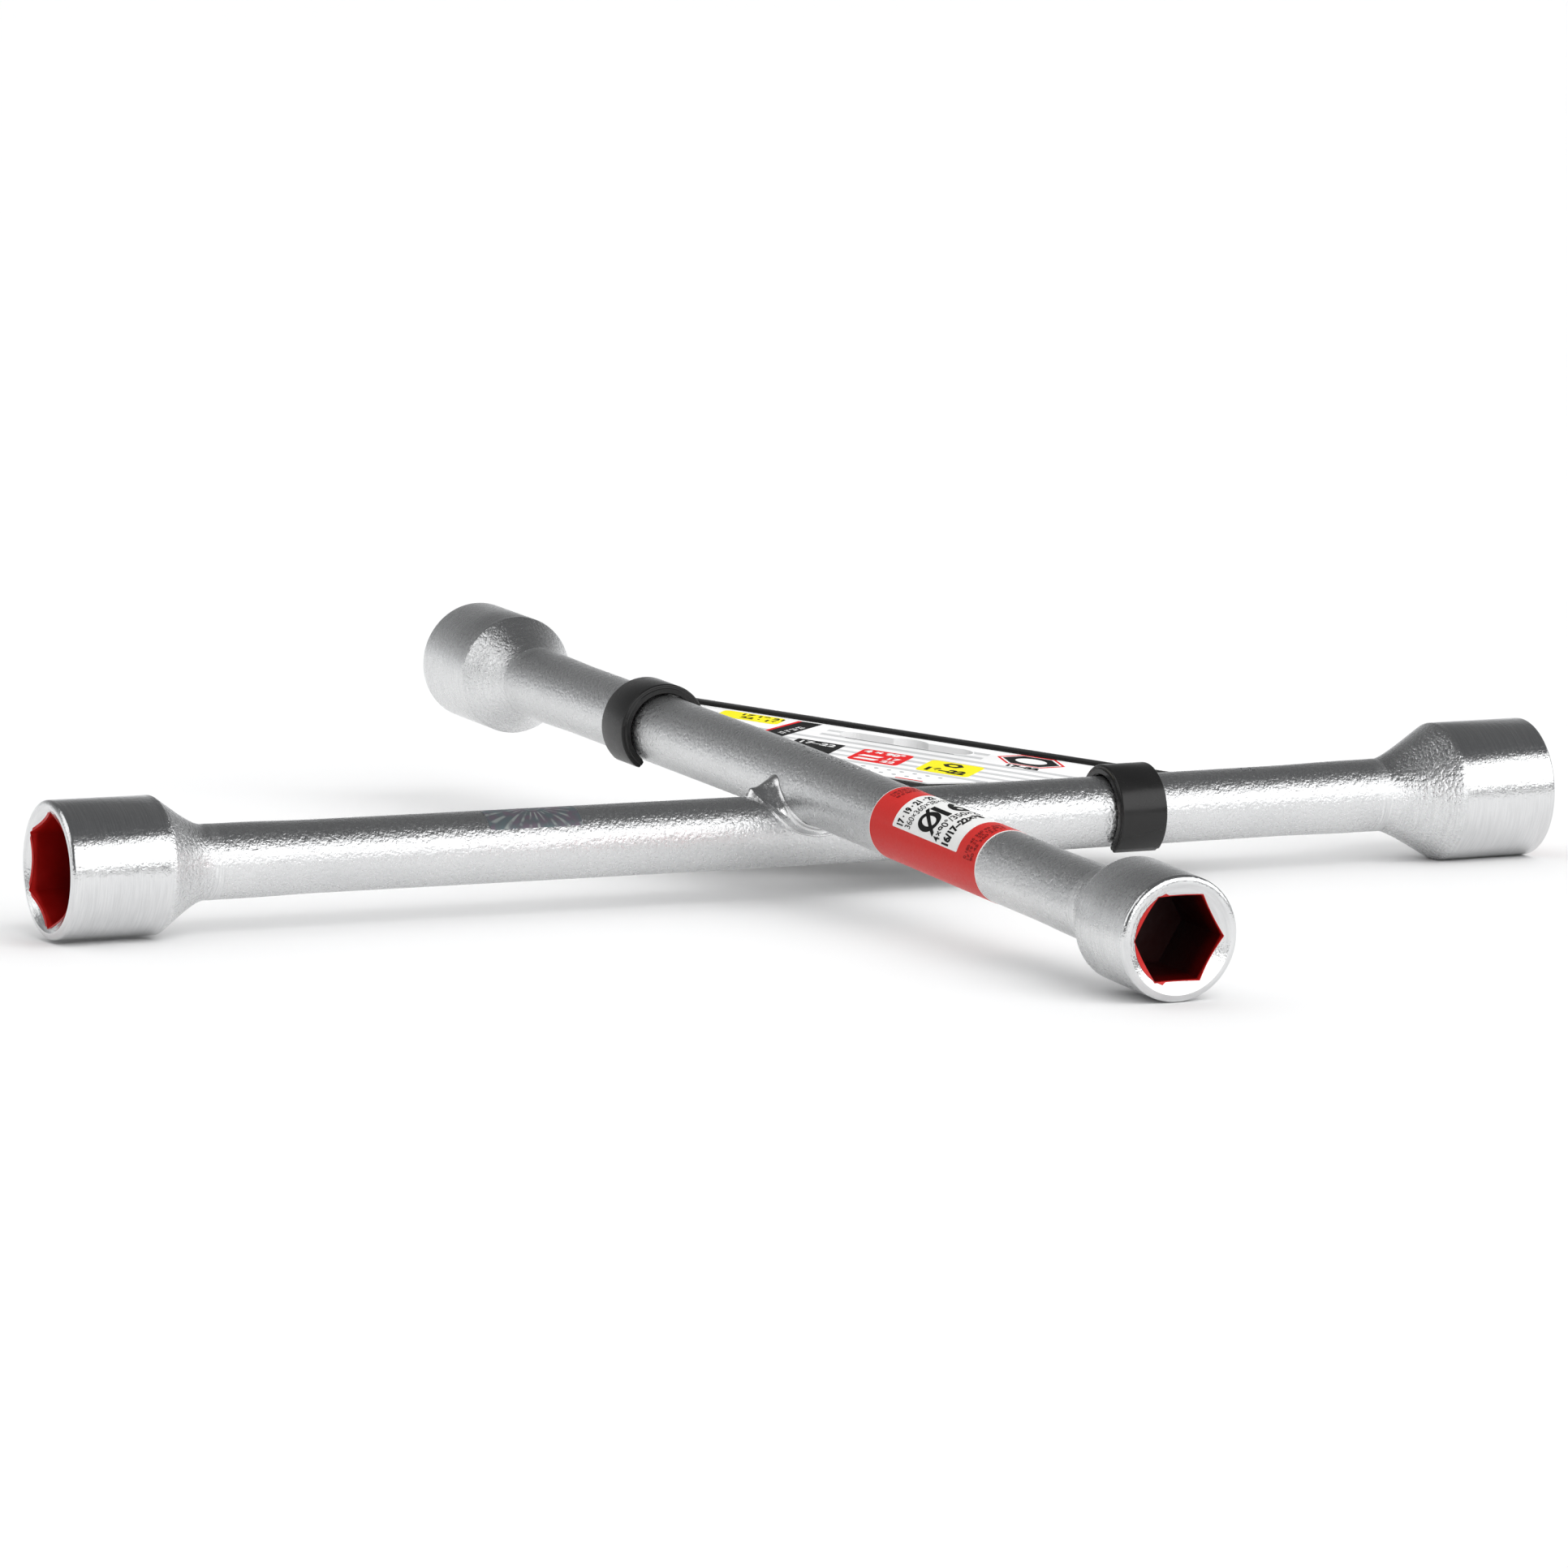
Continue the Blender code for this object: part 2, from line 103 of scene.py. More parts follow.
def bar_point(kind, distance):
    rise = HEIGHTS[kind] + SLOPES[kind] * (math.hypot(distance, LAP_BEND) - LAP_BEND)
    return CROSSING + AXES[kind] * distance + UP * rise


def axes_matrix(x, y, z, origin):
    return Matrix.Translation(origin) @ Matrix((x, y, z)).transposed().to_4x4()


def arm_frame(kind, side, distance):
    """Placement on an arm: local Z outwards along the arm, local Y up."""
    step = 0.001
    ahead = bar_point(kind, side * (distance + step))
    behind = bar_point(kind, side * (distance - step))
    z = (ahead - behind).normalized()
    x = UP.cross(z).normalized()
    return axes_matrix(x, z.cross(x), z, bar_point(kind, side * distance))


def holder_frame(below=0.0):
    """Placement on the card: local X from the upper bar to the lower bar, local Y outwards."""
    x = Vector((1, -1, -HOLDER_SLOPE * math.sqrt(2))).normalized()
    y = Vector((1, 1, 0)).normalized()
    z = x.cross(y)
    return axes_matrix(x, y, z, CROSSING + UP * HOLDER_HEIGHT) @ Matrix.Translation((0, 0, -below))


# ---- materials


class Nodes:
    """A node tree that is built from the middle outwards."""

    def __init__(self, owner, coordinates):
        owner.use_nodes = True
        self.tree = owner.node_tree
        self.coordinates = self.tree.nodes.new("ShaderNodeTexCoord").outputs[coordinates]

    def plug(self, socket, value):
        if isinstance(value, bpy.types.NodeSocket):
            self.tree.links.new(value, socket)
        else:
            socket.default_value = value

    def node(self, kind, inputs):
        made = self.tree.nodes.new("ShaderNode" + kind)
        for key, value in inputs.items():
            self.plug(made.inputs[key], value)
        return made

    def stretched(self, x, y, z):
        inputs = {"Vector": self.coordinates, "Scale": (x, y, z)}
        return self.node("Mapping", inputs).outputs["Vector"]

    def noise(self, scale, detail=2.0, roughness=0.5, vector=None):
        inputs = {"Vector": vector or self.coordinates, "Scale": scale, "Detail": detail,
                  "Roughness": roughness}
        return self.node("TexNoise", inputs).outputs["Fac"]

    def math(self, operation, a, b=0.0):
        node = self.node("Math", {0: a, 1: b})
        node.operation = operation
        return node.outputs["Value"]

    def times(self, a, b):
        return self.math("MULTIPLY", a, b)

    def remap(self, value, low, high, new_low=0.0, new_high=1.0, smooth=False):
        node = self.node("MapRange", {"Value": value, "From Min": low, "From Max": high,
                                      "To Min": new_low, "To Max": new_high})
        if smooth:
            node.interpolation_type = "SMOOTHSTEP"
        return node.outputs["Result"]

    def mix(self, factor, first, second):
        node = self.tree.nodes.new("ShaderNodeMix")
        node.data_type = "RGBA"
        self.plug(node.inputs[0], factor)
        for index, given in ((6, first), (7, second)):
            if isinstance(given, tuple):
                given = (*given, 1.0)
            self.plug(node.inputs[index], given)
        return node.outputs[2]

    def axis(self, name):
        return self.node("SeparateXYZ", {0: self.coordinates}).outputs[name]


class Paint(Nodes):
    """A Principled material and the nodes that feed it."""

    def __init__(self, name, colour, roughness, metallic=0.0):
        self.made = bpy.data.materials.new(name)
        super().__init__(self.made, "Object")
        self.surface = self.tree.nodes["Principled BSDF"]
        self.set("Base Color", (*colour, 1.0))
        self.set("Roughness", roughness)
        self.set("Metallic", metallic)

    def set(self, name, value):
        self.plug(self.surface.inputs[name], value)

    def colours(self, factor, first, second):
        self.set("Base Color", self.mix(factor, first, second))

    def roughness(self, speckle, low, high):
        self.set("Roughness", self.remap(speckle, 0.3, 0.7, low, high))

    def bump(self, height, distance, strength=1.0, normal=None):
        node = self.node("Bump", {"Strength": strength, "Distance": distance, "Height": height})
        if normal:
            self.plug(node.inputs["Normal"], normal)
        return node.outputs["Normal"]

    def relief(self, *bump):
        self.set("Normal", self.bump(*bump))

    def shine(self, level):
        self.set("Specular IOR Level", level)


def bar_zinc():
    """Zinc over drawn bar: pebbly grain, faint clouds, and grinding marks next to the welds."""
    paint = Paint("bar_zinc", (0.68, 0.685, 0.69), 0.32, 1.0)
    clouds = paint.noise(60, 4)
    paint.colours(clouds, (0.62, 0.625, 0.632), (0.74, 0.742, 0.745))
    specks = paint.noise(1500)
    paint.roughness(specks, 0.24, 0.36)
    fine = paint.bump(paint.noise(1500, 2, 0.6), 0.0002, 0.9)
    pebbles = paint.bump(paint.noise(850), 0.00018, 0.8, fine)
    distance = paint.math("ABSOLUTE", paint.axis("Z"))
    near_weld = paint.remap(distance, 0.124, 0.136, smooth=True)
    lines = paint.noise(1, vector=paint.stretched(150, 150, 3600))
    paint.relief(paint.times(lines, near_weld), 0.00003, 0.8, pebbles)
    return paint.made


def socket_zinc(name, turned_low, turned_high):
    """Zinc over a turned barrel and a forged cone, told apart by the distance from the mouth."""
    paint = Paint(name, (0.68, 0.685, 0.69), 0.16, 1.0)
    cone = paint.remap(paint.axis("Z"), -0.0225, -0.024)
    lines = paint.noise(1, 3, 0.6, vector=paint.stretched(130, 130, 3000))
    clouds = paint.noise(90, 4)
    streaks = paint.remap(lines, 0.35, 0.65)
    tone = paint.math("ADD", paint.times(clouds, 0.5), paint.times(streaks, 0.5))
    paint.colours(tone, (0.6, 0.605, 0.612), (0.78, 0.782, 0.785))
    specks = paint.noise(1300)
    turned_rough = paint.remap(specks, 0.3, 0.7, turned_low, turned_high)
    rim = paint.remap(paint.axis("Z"), -0.0018, -0.0008, 1.0, 0.13 / turned_low)
    turned_rough = paint.times(turned_rough, rim)
    forged_rough = paint.remap(specks, 0.3, 0.7, 0.22, 0.34)
    blend = paint.times(cone, paint.math("SUBTRACT", forged_rough, turned_rough))
    paint.set("Roughness", paint.math("ADD", turned_rough, blend))
    scored = paint.bump(lines, 0.00007, 0.8)
    fine = paint.bump(paint.noise(1500, 2, 0.6), 0.00008, 0.8, scored)
    dents = paint.bump(paint.noise(420), 0.00006, 0.6, fine)
    grain = paint.times(paint.noise(1300, 2, 0.6), cone)
    paint.relief(grain, 0.00028, 0.9, dents)
    return paint.made


def weld_zinc():
    """Zinc over weld metal: brighter, with a fine uneven skin."""
    paint = Paint("weld_zinc", (0.72, 0.722, 0.725), 0.28, 1.0)
    specks = paint.noise(1500, 3)
    paint.roughness(specks, 0.19, 0.29)
    rough = paint.bump(paint.noise(1500, 3, 0.6), 0.00006, 0.8)
    paint.relief(paint.noise(700), 0.00004, 0.6, rough)
    return paint.made


def ring_zinc():
    """The neck welds: ground round the bar."""
    paint = Paint("ring_zinc", (0.7, 0.702, 0.706), 0.36, 1.0)
    lines = paint.remap(paint.noise(1, vector=paint.stretched(150, 150, 3600)), 0.35, 0.65)
    paint.colours(lines, (0.64, 0.645, 0.65), (0.8, 0.802, 0.806))
    grain = paint.bump(paint.noise(1500, 2, 0.6), 0.0002, 0.9)
    paint.relief(paint.noise(850), 0.00014, 0.8, grain)
    return paint.made


def red_lacquer(name, wall, reach):
    """Red lacquer with painted shade: its own red on the lip, then darker and darker down into the
    hole.
    """
    paint = Paint(name, (0.42, 0.012, 0.012), 0.34)
    clouds = paint.noise(320, 3)
    lip = paint.mix(clouds, (0.4, 0.008, 0.007), (0.6, 0.018, 0.015))
    # Painted shade: the hole's walls are darkened to the level wall, and further to near black
    # towards depth reach.
    wall = paint.mix(clouds, (wall, wall / 100, wall / 150), (wall * 1.5, wall / 80, wall / 120))
    deep_shade = (0.016, 0.0004, 0.0003)
    z = paint.axis("Z")
    inside = paint.mix(paint.remap(z, -0.003, -reach, smooth=True), wall, deep_shade)
    # Below the lip the painted shade sets in.
    paint.colours(paint.remap(z, -0.0013, -0.0024, smooth=True), lip, inside)
    paint.roughness(clouds, 0.28, 0.4)
    paint.shine(0.25)
    paint.relief(paint.noise(700, 3), 0.00012, 0.6)
    return paint.made


def plain_print(name, colour, roughness, shine=0.1):
    """Ink or paper with a faint fibre under its gloss."""
    paint = Paint(name, colour, roughness)
    fibre = paint.noise(1800, 3)
    paint.roughness(fibre, roughness - 0.06, roughness + 0.06)
    light = tuple(min(1.0, value * 1.06) for value in colour)
    paint.colours(paint.noise(240, 3), colour, light)
    paint.relief(fibre, 0.00002, 0.4)
    paint.shine(shine)
    return paint.made


def hologram_foil():
    """Silver foil with fine radiating and ring-shaped lines in pale rainbow tints."""
    paint = Paint("hologram_foil", (0.5, 0.5, 0.52), 0.3, 0.9)
    x = paint.math("DIVIDE", paint.axis("X"), 0.0026)
    z = paint.math("DIVIDE", paint.math("SUBTRACT", paint.axis("Z"), 0.001), 0.0034)
    square = paint.math("ADD", paint.math("POWER", x, 2.0), paint.math("POWER", z, 2.0))
    radius = paint.math("SQRT", square)
    angle = paint.math("ARCTAN2", x, z)
    rings = paint.math("SINE", paint.times(radius, 13.0))
    rays = paint.math("SINE", paint.times(angle, 26.0))
    outside = paint.remap(radius, 1.0, 1.05)
    inner = paint.times(rings, paint.math("SUBTRACT", 1.0, outside))
    pattern = paint.math("ADD", inner, paint.times(rays, outside))
    patchy = paint.remap(paint.noise(330), 0.42, 0.6)
    lines = paint.times(paint.remap(pattern, 0.2, 0.9), patchy)
    tint = paint.noise(420)
    cool = paint.mix(paint.remap(tint, 0.4, 0.6), (0.3, 0.44, 0.47), (0.46, 0.34, 0.46))
    base = paint.mix(paint.noise(700), (0.34, 0.33, 0.36), cool)
    paint.colours(lines, base, (0.78, 0.84, 0.82))
    paint.relief(pattern, 0.00001, 0.4)
    return paint.made


def black_plastic(name="black_plastic", rough=0.25):
    """Moulded plastic: satin black with a fine spark-eroded texture and slight flow marks."""
    paint = Paint(name, (0.012, 0.012, 0.012), rough)
    fine = paint.noise(2400)
    paint.roughness(paint.noise(150, 3), rough - 0.07, rough + 0.07)
    paint.colours(paint.noise(90, 3), (0.009, 0.009, 0.009), (0.015, 0.0145, 0.0145))
    low = paint.bump(paint.noise(240), 0.00006, 0.35)
    paint.relief(fine, 0.00003, 0.4, low)
    paint.shine(0.34)
    return paint.made


STRIPE_PITCH = 0.00508
STRIPE_START = 0.03976  # distance of the first stripe's front edge from the crossing
STRIPE_SHARE = 0.45


def card_print():
    """White coated card with pale grey stripes that run along the rail."""
    paint = Paint("card_print", (0.86, 0.86, 0.86), 0.42)
    y = paint.axis("Y")
    phase = paint.math("DIVIDE", paint.math("SUBTRACT", y, STRIPE_START), STRIPE_PITCH)
    stripe = paint.math("LESS_THAN", paint.math("FRACT", phase), STRIPE_SHARE)
    across = paint.math("ABSOLUTE", paint.axis("X"))
    narrow = paint.times(paint.math("LESS_THAN", across, 0.0195),
                         paint.math("LESS_THAN", y, 0.0735))
    inside = paint.times(paint.math("MAXIMUM", narrow, paint.math("LESS_THAN", y, 0.0635)),
                         paint.math("GREATER_THAN", y, STRIPE_START - 0.0003))
    grey = paint.times(stripe, inside)
    paper = paint.mix(paint.noise(200, 3), (0.88, 0.88, 0.88), (0.91, 0.91, 0.91))
    paint.colours(grey, paper, (0.58, 0.585, 0.59))
    paint.relief(paint.noise(1600, 3), 0.00002, 0.4)
    paint.shine(0.12)
    return paint.made


def floor_paint():
    paint = Paint("floor_white", (0.9, 0.9, 0.9), 0.75)
    paint.colours(paint.noise(3, 3), (0.89, 0.89, 0.89), (0.91, 0.91, 0.91))
    return paint.made


# ---- mesh tools


def linked(name, data):
    obj = bpy.data.objects.new(name, data)
    bpy.context.scene.collection.objects.link(obj)
    return obj


def mesh_object(name, vertices, faces, paint=None):
    mesh = bpy.data.meshes.new(name)
    mesh.from_pydata([tuple(v) for v in vertices], [], faces)
    mesh.validate()
    if paint:
        mesh.materials.append(paint)
    return linked(name, mesh)


def loft(name, rings, paint=None, placement=Matrix(), closed=False):
    """Quads through rings of equal length. closed joins the last ring to the first."""
    count = len(rings[0])
    vertices = [point for ring in rings for point in ring]
    faces = []
    spans = len(rings) if closed else len(rings) - 1
    for i in range(spans):
        here, there = i * count, (i + 1) % len(rings) * count
        for j in range(count):
            k = (j + 1) % count
            faces.append((here + j, here + k, there + k, there + j))
    if not closed:
        faces.append(tuple(range(count))[::-1])
        faces.append(tuple(range((len(rings) - 1) * count, len(rings) * count)))
    obj = mesh_object(name, vertices, faces, paint)
    obj.matrix_world = placement
    return outward(obj)


@contextmanager
def edited(mesh):
    bm = bmesh.new()
    bm.from_mesh(mesh)
    yield bm
    bm.to_mesh(mesh)
    bm.free()


def outward(obj):
    """Make every face point outwards."""
    with edited(obj.data) as bm:
        bmesh.ops.recalc_face_normals(bm, faces=bm.faces)
    return obj


def smooth(obj, degrees=32):
    obj.data.shade_smooth()
    obj.data.set_sharp_from_angle(angle=math.radians(degrees))
    return obj


def settle(obj, placement):
    """Give an object made in world coordinates its own local axes."""
    obj.data.transform(placement.inverted())
    obj.matrix_world = placement
    return obj


def evaluated_mesh(obj):
    bpy.context.view_layer.update()
    evaluated = obj.evaluated_get(bpy.context.evaluated_depsgraph_get())
    return bpy.data.meshes.new_from_object(evaluated)


def apply_modifiers(obj):
    mesh = evaluated_mesh(obj)
    obj.modifiers.clear()
    obj.data = mesh


def cut(obj, tool, operation="DIFFERENCE"):
    """Boolean one object with another, which is then removed."""
    modifier = obj.modifiers.new("Cut", "BOOLEAN")
    modifier.operation = operation
    modifier.solver = "EXACT"
    modifier.object = tool
    apply_modifiers(obj)
    bpy.data.objects.remove(tool)


def arc(centre, radius, start, stop, steps):
    cx, cy = centre
    angles = [math.radians(start + (stop - start) * i / steps) for i in range(steps + 1)]
    return [(cx + radius * math.cos(a), cy + radius * math.sin(a)) for a in angles]


def round_outline(radius, steps, start=0, stop=360):
    """A closed outline of this many corners about the middle."""
    return arc((0, 0), radius, start, stop, steps)[:-1]


def rounded(corners, radius, steps=6):
    """A convex anticlockwise outline with each corner replaced by an arc."""
    points = []
    for i, corner in enumerate(corners):
        here = Vector(corner)
        before = (Vector(corners[i - 1]) - here).normalized()
        after = (Vector(corners[(i + 1) % len(corners)]) - here).normalized()
        half = before.angle(after) / 2
        centre = here + (before + after).normalized() * radius / math.sin(half)
        first = here + before * radius / math.tan(half) - centre
        start = math.degrees(math.atan2(first.y, first.x))
        points += arc(centre, radius, start, start + 180 - math.degrees(2 * half), steps)
    return points


def rectangle(left, right, bottom, top, corner=0.0):
    corners = [(left, bottom), (right, bottom), (right, top), (left, top)]
    return rounded(corners, corner) if corner else corners


def flat_mesh(name, outlines):
    """Filled 2D outlines as a flat mesh in XY. Outlines inside the first one are holes."""
    curve = bpy.data.curves.new(name, "CURVE")
    curve.dimensions = "2D"
    curve.fill_mode = "BOTH"
    for outline in outlines:
        spline = curve.splines.new("POLY")
        spline.points.add(len(outline) - 1)
        for target, (x, y) in zip(spline.points, outline):
            target.co = (x, y, 0.0, 1.0)
        spline.use_cyclic_u = True
    return from_curve(name, curve)


def text_mesh(name, words, size, weight=0.0, squeeze=1.0):
    """Numerals as a flat mesh in XY, starting at the origin."""
    curve = bpy.data.curves.new(name, "FONT")
    curve.body = words
    curve.size = size
    curve.offset = weight
    curve.fill_mode = "FRONT"
    obj = from_curve(name, curve)
    obj.data.transform(Matrix.Diagonal((squeeze, 1.0, 1.0, 1.0)))
    return obj


def from_curve(name, curve):
    source = linked(name + "_curve", curve)
    mesh = evaluated_mesh(source)
    bpy.data.objects.remove(source)
    with edited(mesh) as bm:
        bmesh.ops.remove_doubles(bm, verts=bm.verts, dist=0.000002)
        for face in bm.faces:
            if face.normal.z < 0:
                face.normal_flip()
        slivers = [face for face in bm.faces if abs(face.normal.z) < 0.5]
        bmesh.ops.delete(bm, geom=slivers, context="FACES")
    return linked(name, mesh)


def slice_x(obj, pitch):
    """Cut a flat mesh into strips across X, so that it can bend."""
    with edited(obj.data) as bm:
        xs = [v.co.x for v in bm.verts]
        position = min(xs) + pitch / 2
        while position < max(xs):
            geometry = bm.verts[:] + bm.edges[:] + bm.faces[:]
            bmesh.ops.bisect_plane(bm, geom=geometry, dist=0.0000005, plane_co=(position, 0, 0),
                                   plane_no=(1, 0, 0))
            position += pitch


def thicken(obj, thickness):
    """Turn a sheet into a closed skin of this thickness."""
    modifier = obj.modifiers.new("Solidify", "SOLIDIFY")
    modifier.thickness = thickness
    modifier.offset = 1.0
    modifier.use_quality_normals = True
    apply_modifiers(obj)


def wrap(obj, placement, radius, start, thickness, paint, slot="label_foil"):
    """Bend a flat mesh round a bar: X runs round it from an angle in degrees, Y along it."""
    slice_x(obj, 0.0005)
    for vertex in obj.data.vertices:
        angle = math.radians(start) + vertex.co.x / radius
        vertex.co = (radius * math.cos(angle), radius * math.sin(angle), vertex.co.y)
    thicken(obj, thickness)
    dress(obj, paint, placement)
    finish_piece(smooth(obj), "wrench", slot)


MARK_LIFT = 0.00002
MARK_OVER = 0.00006
MARK_THICKNESS = 0.00003


def lay(obj, x, y, turn, height, paint):
    """Put a flat mesh on the card."""
    obj.data.transform(Matrix.Translation((x, y, 0)) @ Matrix.Rotation(math.radians(turn), 4, "Z"))
    thicken(obj, MARK_THICKNESS)
    dress(obj, paint, holder_frame(-height))
    finish_piece(obj, "holder", "card_print")


def dress(obj, paint, placement):
    obj.data.materials.clear()
    obj.data.materials.append(paint)
    obj.matrix_world = placement


def finish_piece(obj, body, slot, *nodes):
    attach(obj, body)
    if nodes:
        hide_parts(*nodes)


def smoothstep(low, high, value):
    share = min(max((value - low) / (high - low), 0.0), 1.0)
    return share * share * (3 - 2 * share)


# ---- bars

BAR_SIDES = 112
BAR_PITCH = 0.0016


def bar(kind, paint):
    """A bar that is bent at the lap, swells at its ends and is flat where it meets the other."""
    rings = []
    steps = round(2 * BAR_END / BAR_PITCH)
    other, sign = ("lower", 1) if kind == "upper" else ("upper", -1)
    other_axis = CROSSING.z + HEIGHTS[other]
    for i in range(steps + 1):
        distance = -BAR_END + 2 * BAR_END * i / steps
        placement = arm_frame(kind, 1, distance)
        swell = 1 + (END_SWELL - 1) * smoothstep(*SWELL_SPAN, abs(distance))
        ring = [placement @ Vector((x, y, 0)) for x, y in
                round_outline(BAR_RADIUS * swell, BAR_SIDES)]
        for point in ring:
            away = math.hypot(AXES[kind].dot(point - CROSSING), point.z - other_axis)
            if away < BAR_RADIUS and (point.z - CROSSING.z) * sign < GAP / 2:
                point.z = CROSSING.z + sign * GAP / 2
        rings.append(ring)
    return settle(loft(f"{kind}_bar_steel", rings, paint), arm_frame(kind, 1, 0.0))


STAMP_SIZE = 0.0046
STAMP_DEPTH = 0.00045
STAMP_ROW = -0.007  # middle of the long row of figures on the upper bar


def stamp(target, words, kind, middle, start, turn, size=STAMP_SIZE):
    """Sink numerals that read along a bar into its surface."""
    tool = text_mesh("stamp", words, size)
    tool.data.transform(Matrix.Rotation(math.radians(turn), 4, "Z"))
    slice_x(tool, 0.0006)
    along = [vertex.co.y for vertex in tool.data.vertices]
    shift = (min(along) + max(along)) / 2
    radius = BAR_RADIUS - STAMP_DEPTH
    for vertex in tool.data.vertices:
        angle = math.radians(start) + vertex.co.x / radius
        vertex.co = (radius * math.cos(angle), radius * math.sin(angle), vertex.co.y - shift)
    thicken(tool, 0.001)
    tool.matrix_world = arm_frame(kind, 1, middle)
    cut(target, tool)


# ---- sockets


def turned(name, profile, placement, steps, paint=None):
    """A solid of revolution. Its profile is pairs of radius and height, from top axis to bottom."""
    rings = [[(x, y, height) for x, y in round_outline(max(radius, 0.00001), steps)]
             for radius, height in profile]
    return loft(name, rings, paint, placement)


def swept(name, section, placement, paint):
    """A closed hoop: pairs of radius and height, carried round the axis in 3 degree steps."""
    rings = [[(r * x, r * y, z) for r, z in section] for x, y in round_outline(1, 120)]
    return loft(name, rings, paint, placement, closed=True)


def prism(name, across_flats, bottom, top, corner_up, placement, corner=0.0003, mouth=None):
    """A hexagonal bar. With mouth it widens to that size over its last millimetres."""
    turn = 30 if corner_up else 0

    def outline(width):
        return rounded(round_outline(width / math.sqrt(3), 6, turn, turn + 360), corner, 3)

    levels = [(across_flats, bottom), (across_flats, top)]
    if mouth:
        levels = [(across_flats, bottom), (across_flats, -0.006), (mouth, -0.0022), (mouth, top)]
    rings = [[(x, y, height) for x, y in outline(width)] for width, height in levels]
    return loft(name, rings, None, placement)


RIM_ROUND = 0.0014  # width of the rounded rim; it drops RIM_DROP to the barrel
RIM_DROP = 0.001
RIM_FLAT = 0.0002
COUNTERSINK = math.tan(math.radians(28))
SHOULDER = 0.00015
NECK_RADIUS = 0.00825
NECK_STRAIGHT = 0.0022
NECK_BLEND = 0.55  # share of the cone's length taken by the concave curve into the neck


def socket_profile(outer, barrel, length):
    """Bevelled mouth, rounded rim, barrel, small shoulder, cone and its curve into the neck."""
    inner = outer - RIM_ROUND - RIM_FLAT
    points = [(0.0, -inner * COUNTERSINK), (inner, 0.0)]
    for x, y in arc((0, 0), 1.0, 90, 0, 8):
        points.append((outer + (x - 1) * RIM_ROUND, (y - 1) * RIM_DROP))
    points += [(outer, -barrel * 0.5), (outer, -barrel + SHOULDER)]
    shoulder = Vector((outer, -barrel))
    neck = Vector((NECK_RADIUS, -length))
    cone_foot = Vector((NECK_RADIUS, -length + NECK_STRAIGHT))
    curve_start = shoulder.lerp(cone_foot, 1 - NECK_BLEND)
    points += [tuple(shoulder.lerp(curve_start, share)) for share in (0.04, 0.3, 0.6, 0.85)]
    for i in range(13):
        t = i / 12
        point = curve_start * (1 - t) ** 2 + cone_foot * 2 * t * (1 - t) + neck * t * t
        points.append(tuple(point))
    return points + [(0.0, -length)]


def socket(size, paint):
    kind, side, reach, outer, barrel, nut, corner_up = SOCKETS[size]
    placement = arm_frame(kind, side, reach)
    length = reach - BAR_END - WELD_WIDTH - 2 * GAP
    profile = socket_profile(outer, barrel, length)
    obj = turned(f"socket_{size}_steel", profile, placement, 144, paint)
    hole = prism("hole", nut + LIP_GROWTH, -HEX_DEPTH - 0.0004, 0.004, corner_up, placement)
    cut(obj, hole)
    smooth(obj, 28)
    finish_piece(obj, "wrench", "socket_steel", f"socket_{size}")


THIN_EDGE = 0.0009  # the lined hole across flats at its mouth, over the nut size
SNUG = 0.0004  # the same inside, and the coat's thickness on the floor
OVERLAP = 0.00006  # the coat across flats, over the hole in the steel
BEVEL_LIFT = 0.00008
RUN_OVER = {"17": 0.0011, "19": 0.0011, "21": 0.0004, "22": 0.0004}  # reach over the bevel
RUN_LEFT = ("17", "19")  # here it has only run over the left half
RUN_LIFT = 0.00007


def seat(size):
    """A socket's placement, the radius of its bevel, its nut size and how its hexagon stands."""
    kind, side, reach, outer, _, nut, corner_up = SOCKETS[size]
    return arm_frame(kind, side, reach), outer - RIM_ROUND - RIM_FLAT, nut, corner_up


def lining(size, paint):
    """The coat of lacquer on the walls and floor of the hole. It thins out towards the bevel."""
    placement, inner, nut, corner_up = seat(size)
    wide = nut + LIP_GROWTH + OVERLAP
    profile = [(0.0, -inner * COUNTERSINK + BEVEL_LIFT), (inner, BEVEL_LIFT),
               (inner + 0.002, BEVEL_LIFT + 0.002 * COUNTERSINK), (inner + 0.002, -HEX_DEPTH),
               (0.0, -HEX_DEPTH)]
    obj = turned(f"lining_{size}_lacquer", profile, placement, 96, paint)
    cut(obj, prism("outside", wide, -HEX_DEPTH - 0.0002, 0.01, corner_up, placement), "INTERSECT")
    hollow = prism("inside", nut + SNUG, -HEX_DEPTH + SNUG, 0.01, corner_up, placement,
                   mouth=nut + THIN_EDGE)
    cut(obj, hollow)
    smooth(obj, 30)
    finish_piece(obj, "wrench", "red_lacquer", f"lining_{size}")


def run_over(size, paint):
    """The lacquer that has run over the bevel next to the hole's edges."""
    placement, inner, nut, corner_up = seat(size)
    low, high = nut / 2 * 0.98, min((nut + LIP_GROWTH) / math.sqrt(3) - 0.0003, inner - 0.0006)
    section = [(radius, (radius - inner) * COUNTERSINK + lift) for radius, lift in
               ((low, RUN_LIFT), (high, RUN_LIFT), (high, -RUN_LIFT), (low, -RUN_LIFT))]
    obj = swept(f"lining_{size}_lip", section, placement, paint)
    cut(obj, prism("inside", nut + THIN_EDGE, -HEX_DEPTH, 0.01, corner_up, placement))
    reached = nut + LIP_GROWTH + 2 * RUN_OVER[size]
    cut(obj, prism("reached", reached, -0.01, 0.01, corner_up, placement, 0.002), "INTERSECT")
    if size in RUN_LEFT:
        left = placement @ Matrix.Translation((-0.0167, 0, 0))
        cut(obj, prism("left", 0.03, -0.01, 0.01, True, left, 0.001), "INTERSECT")
    smooth(obj, 30)
    finish_piece(obj, "wrench", "red_lacquer", f"lining_{size}")


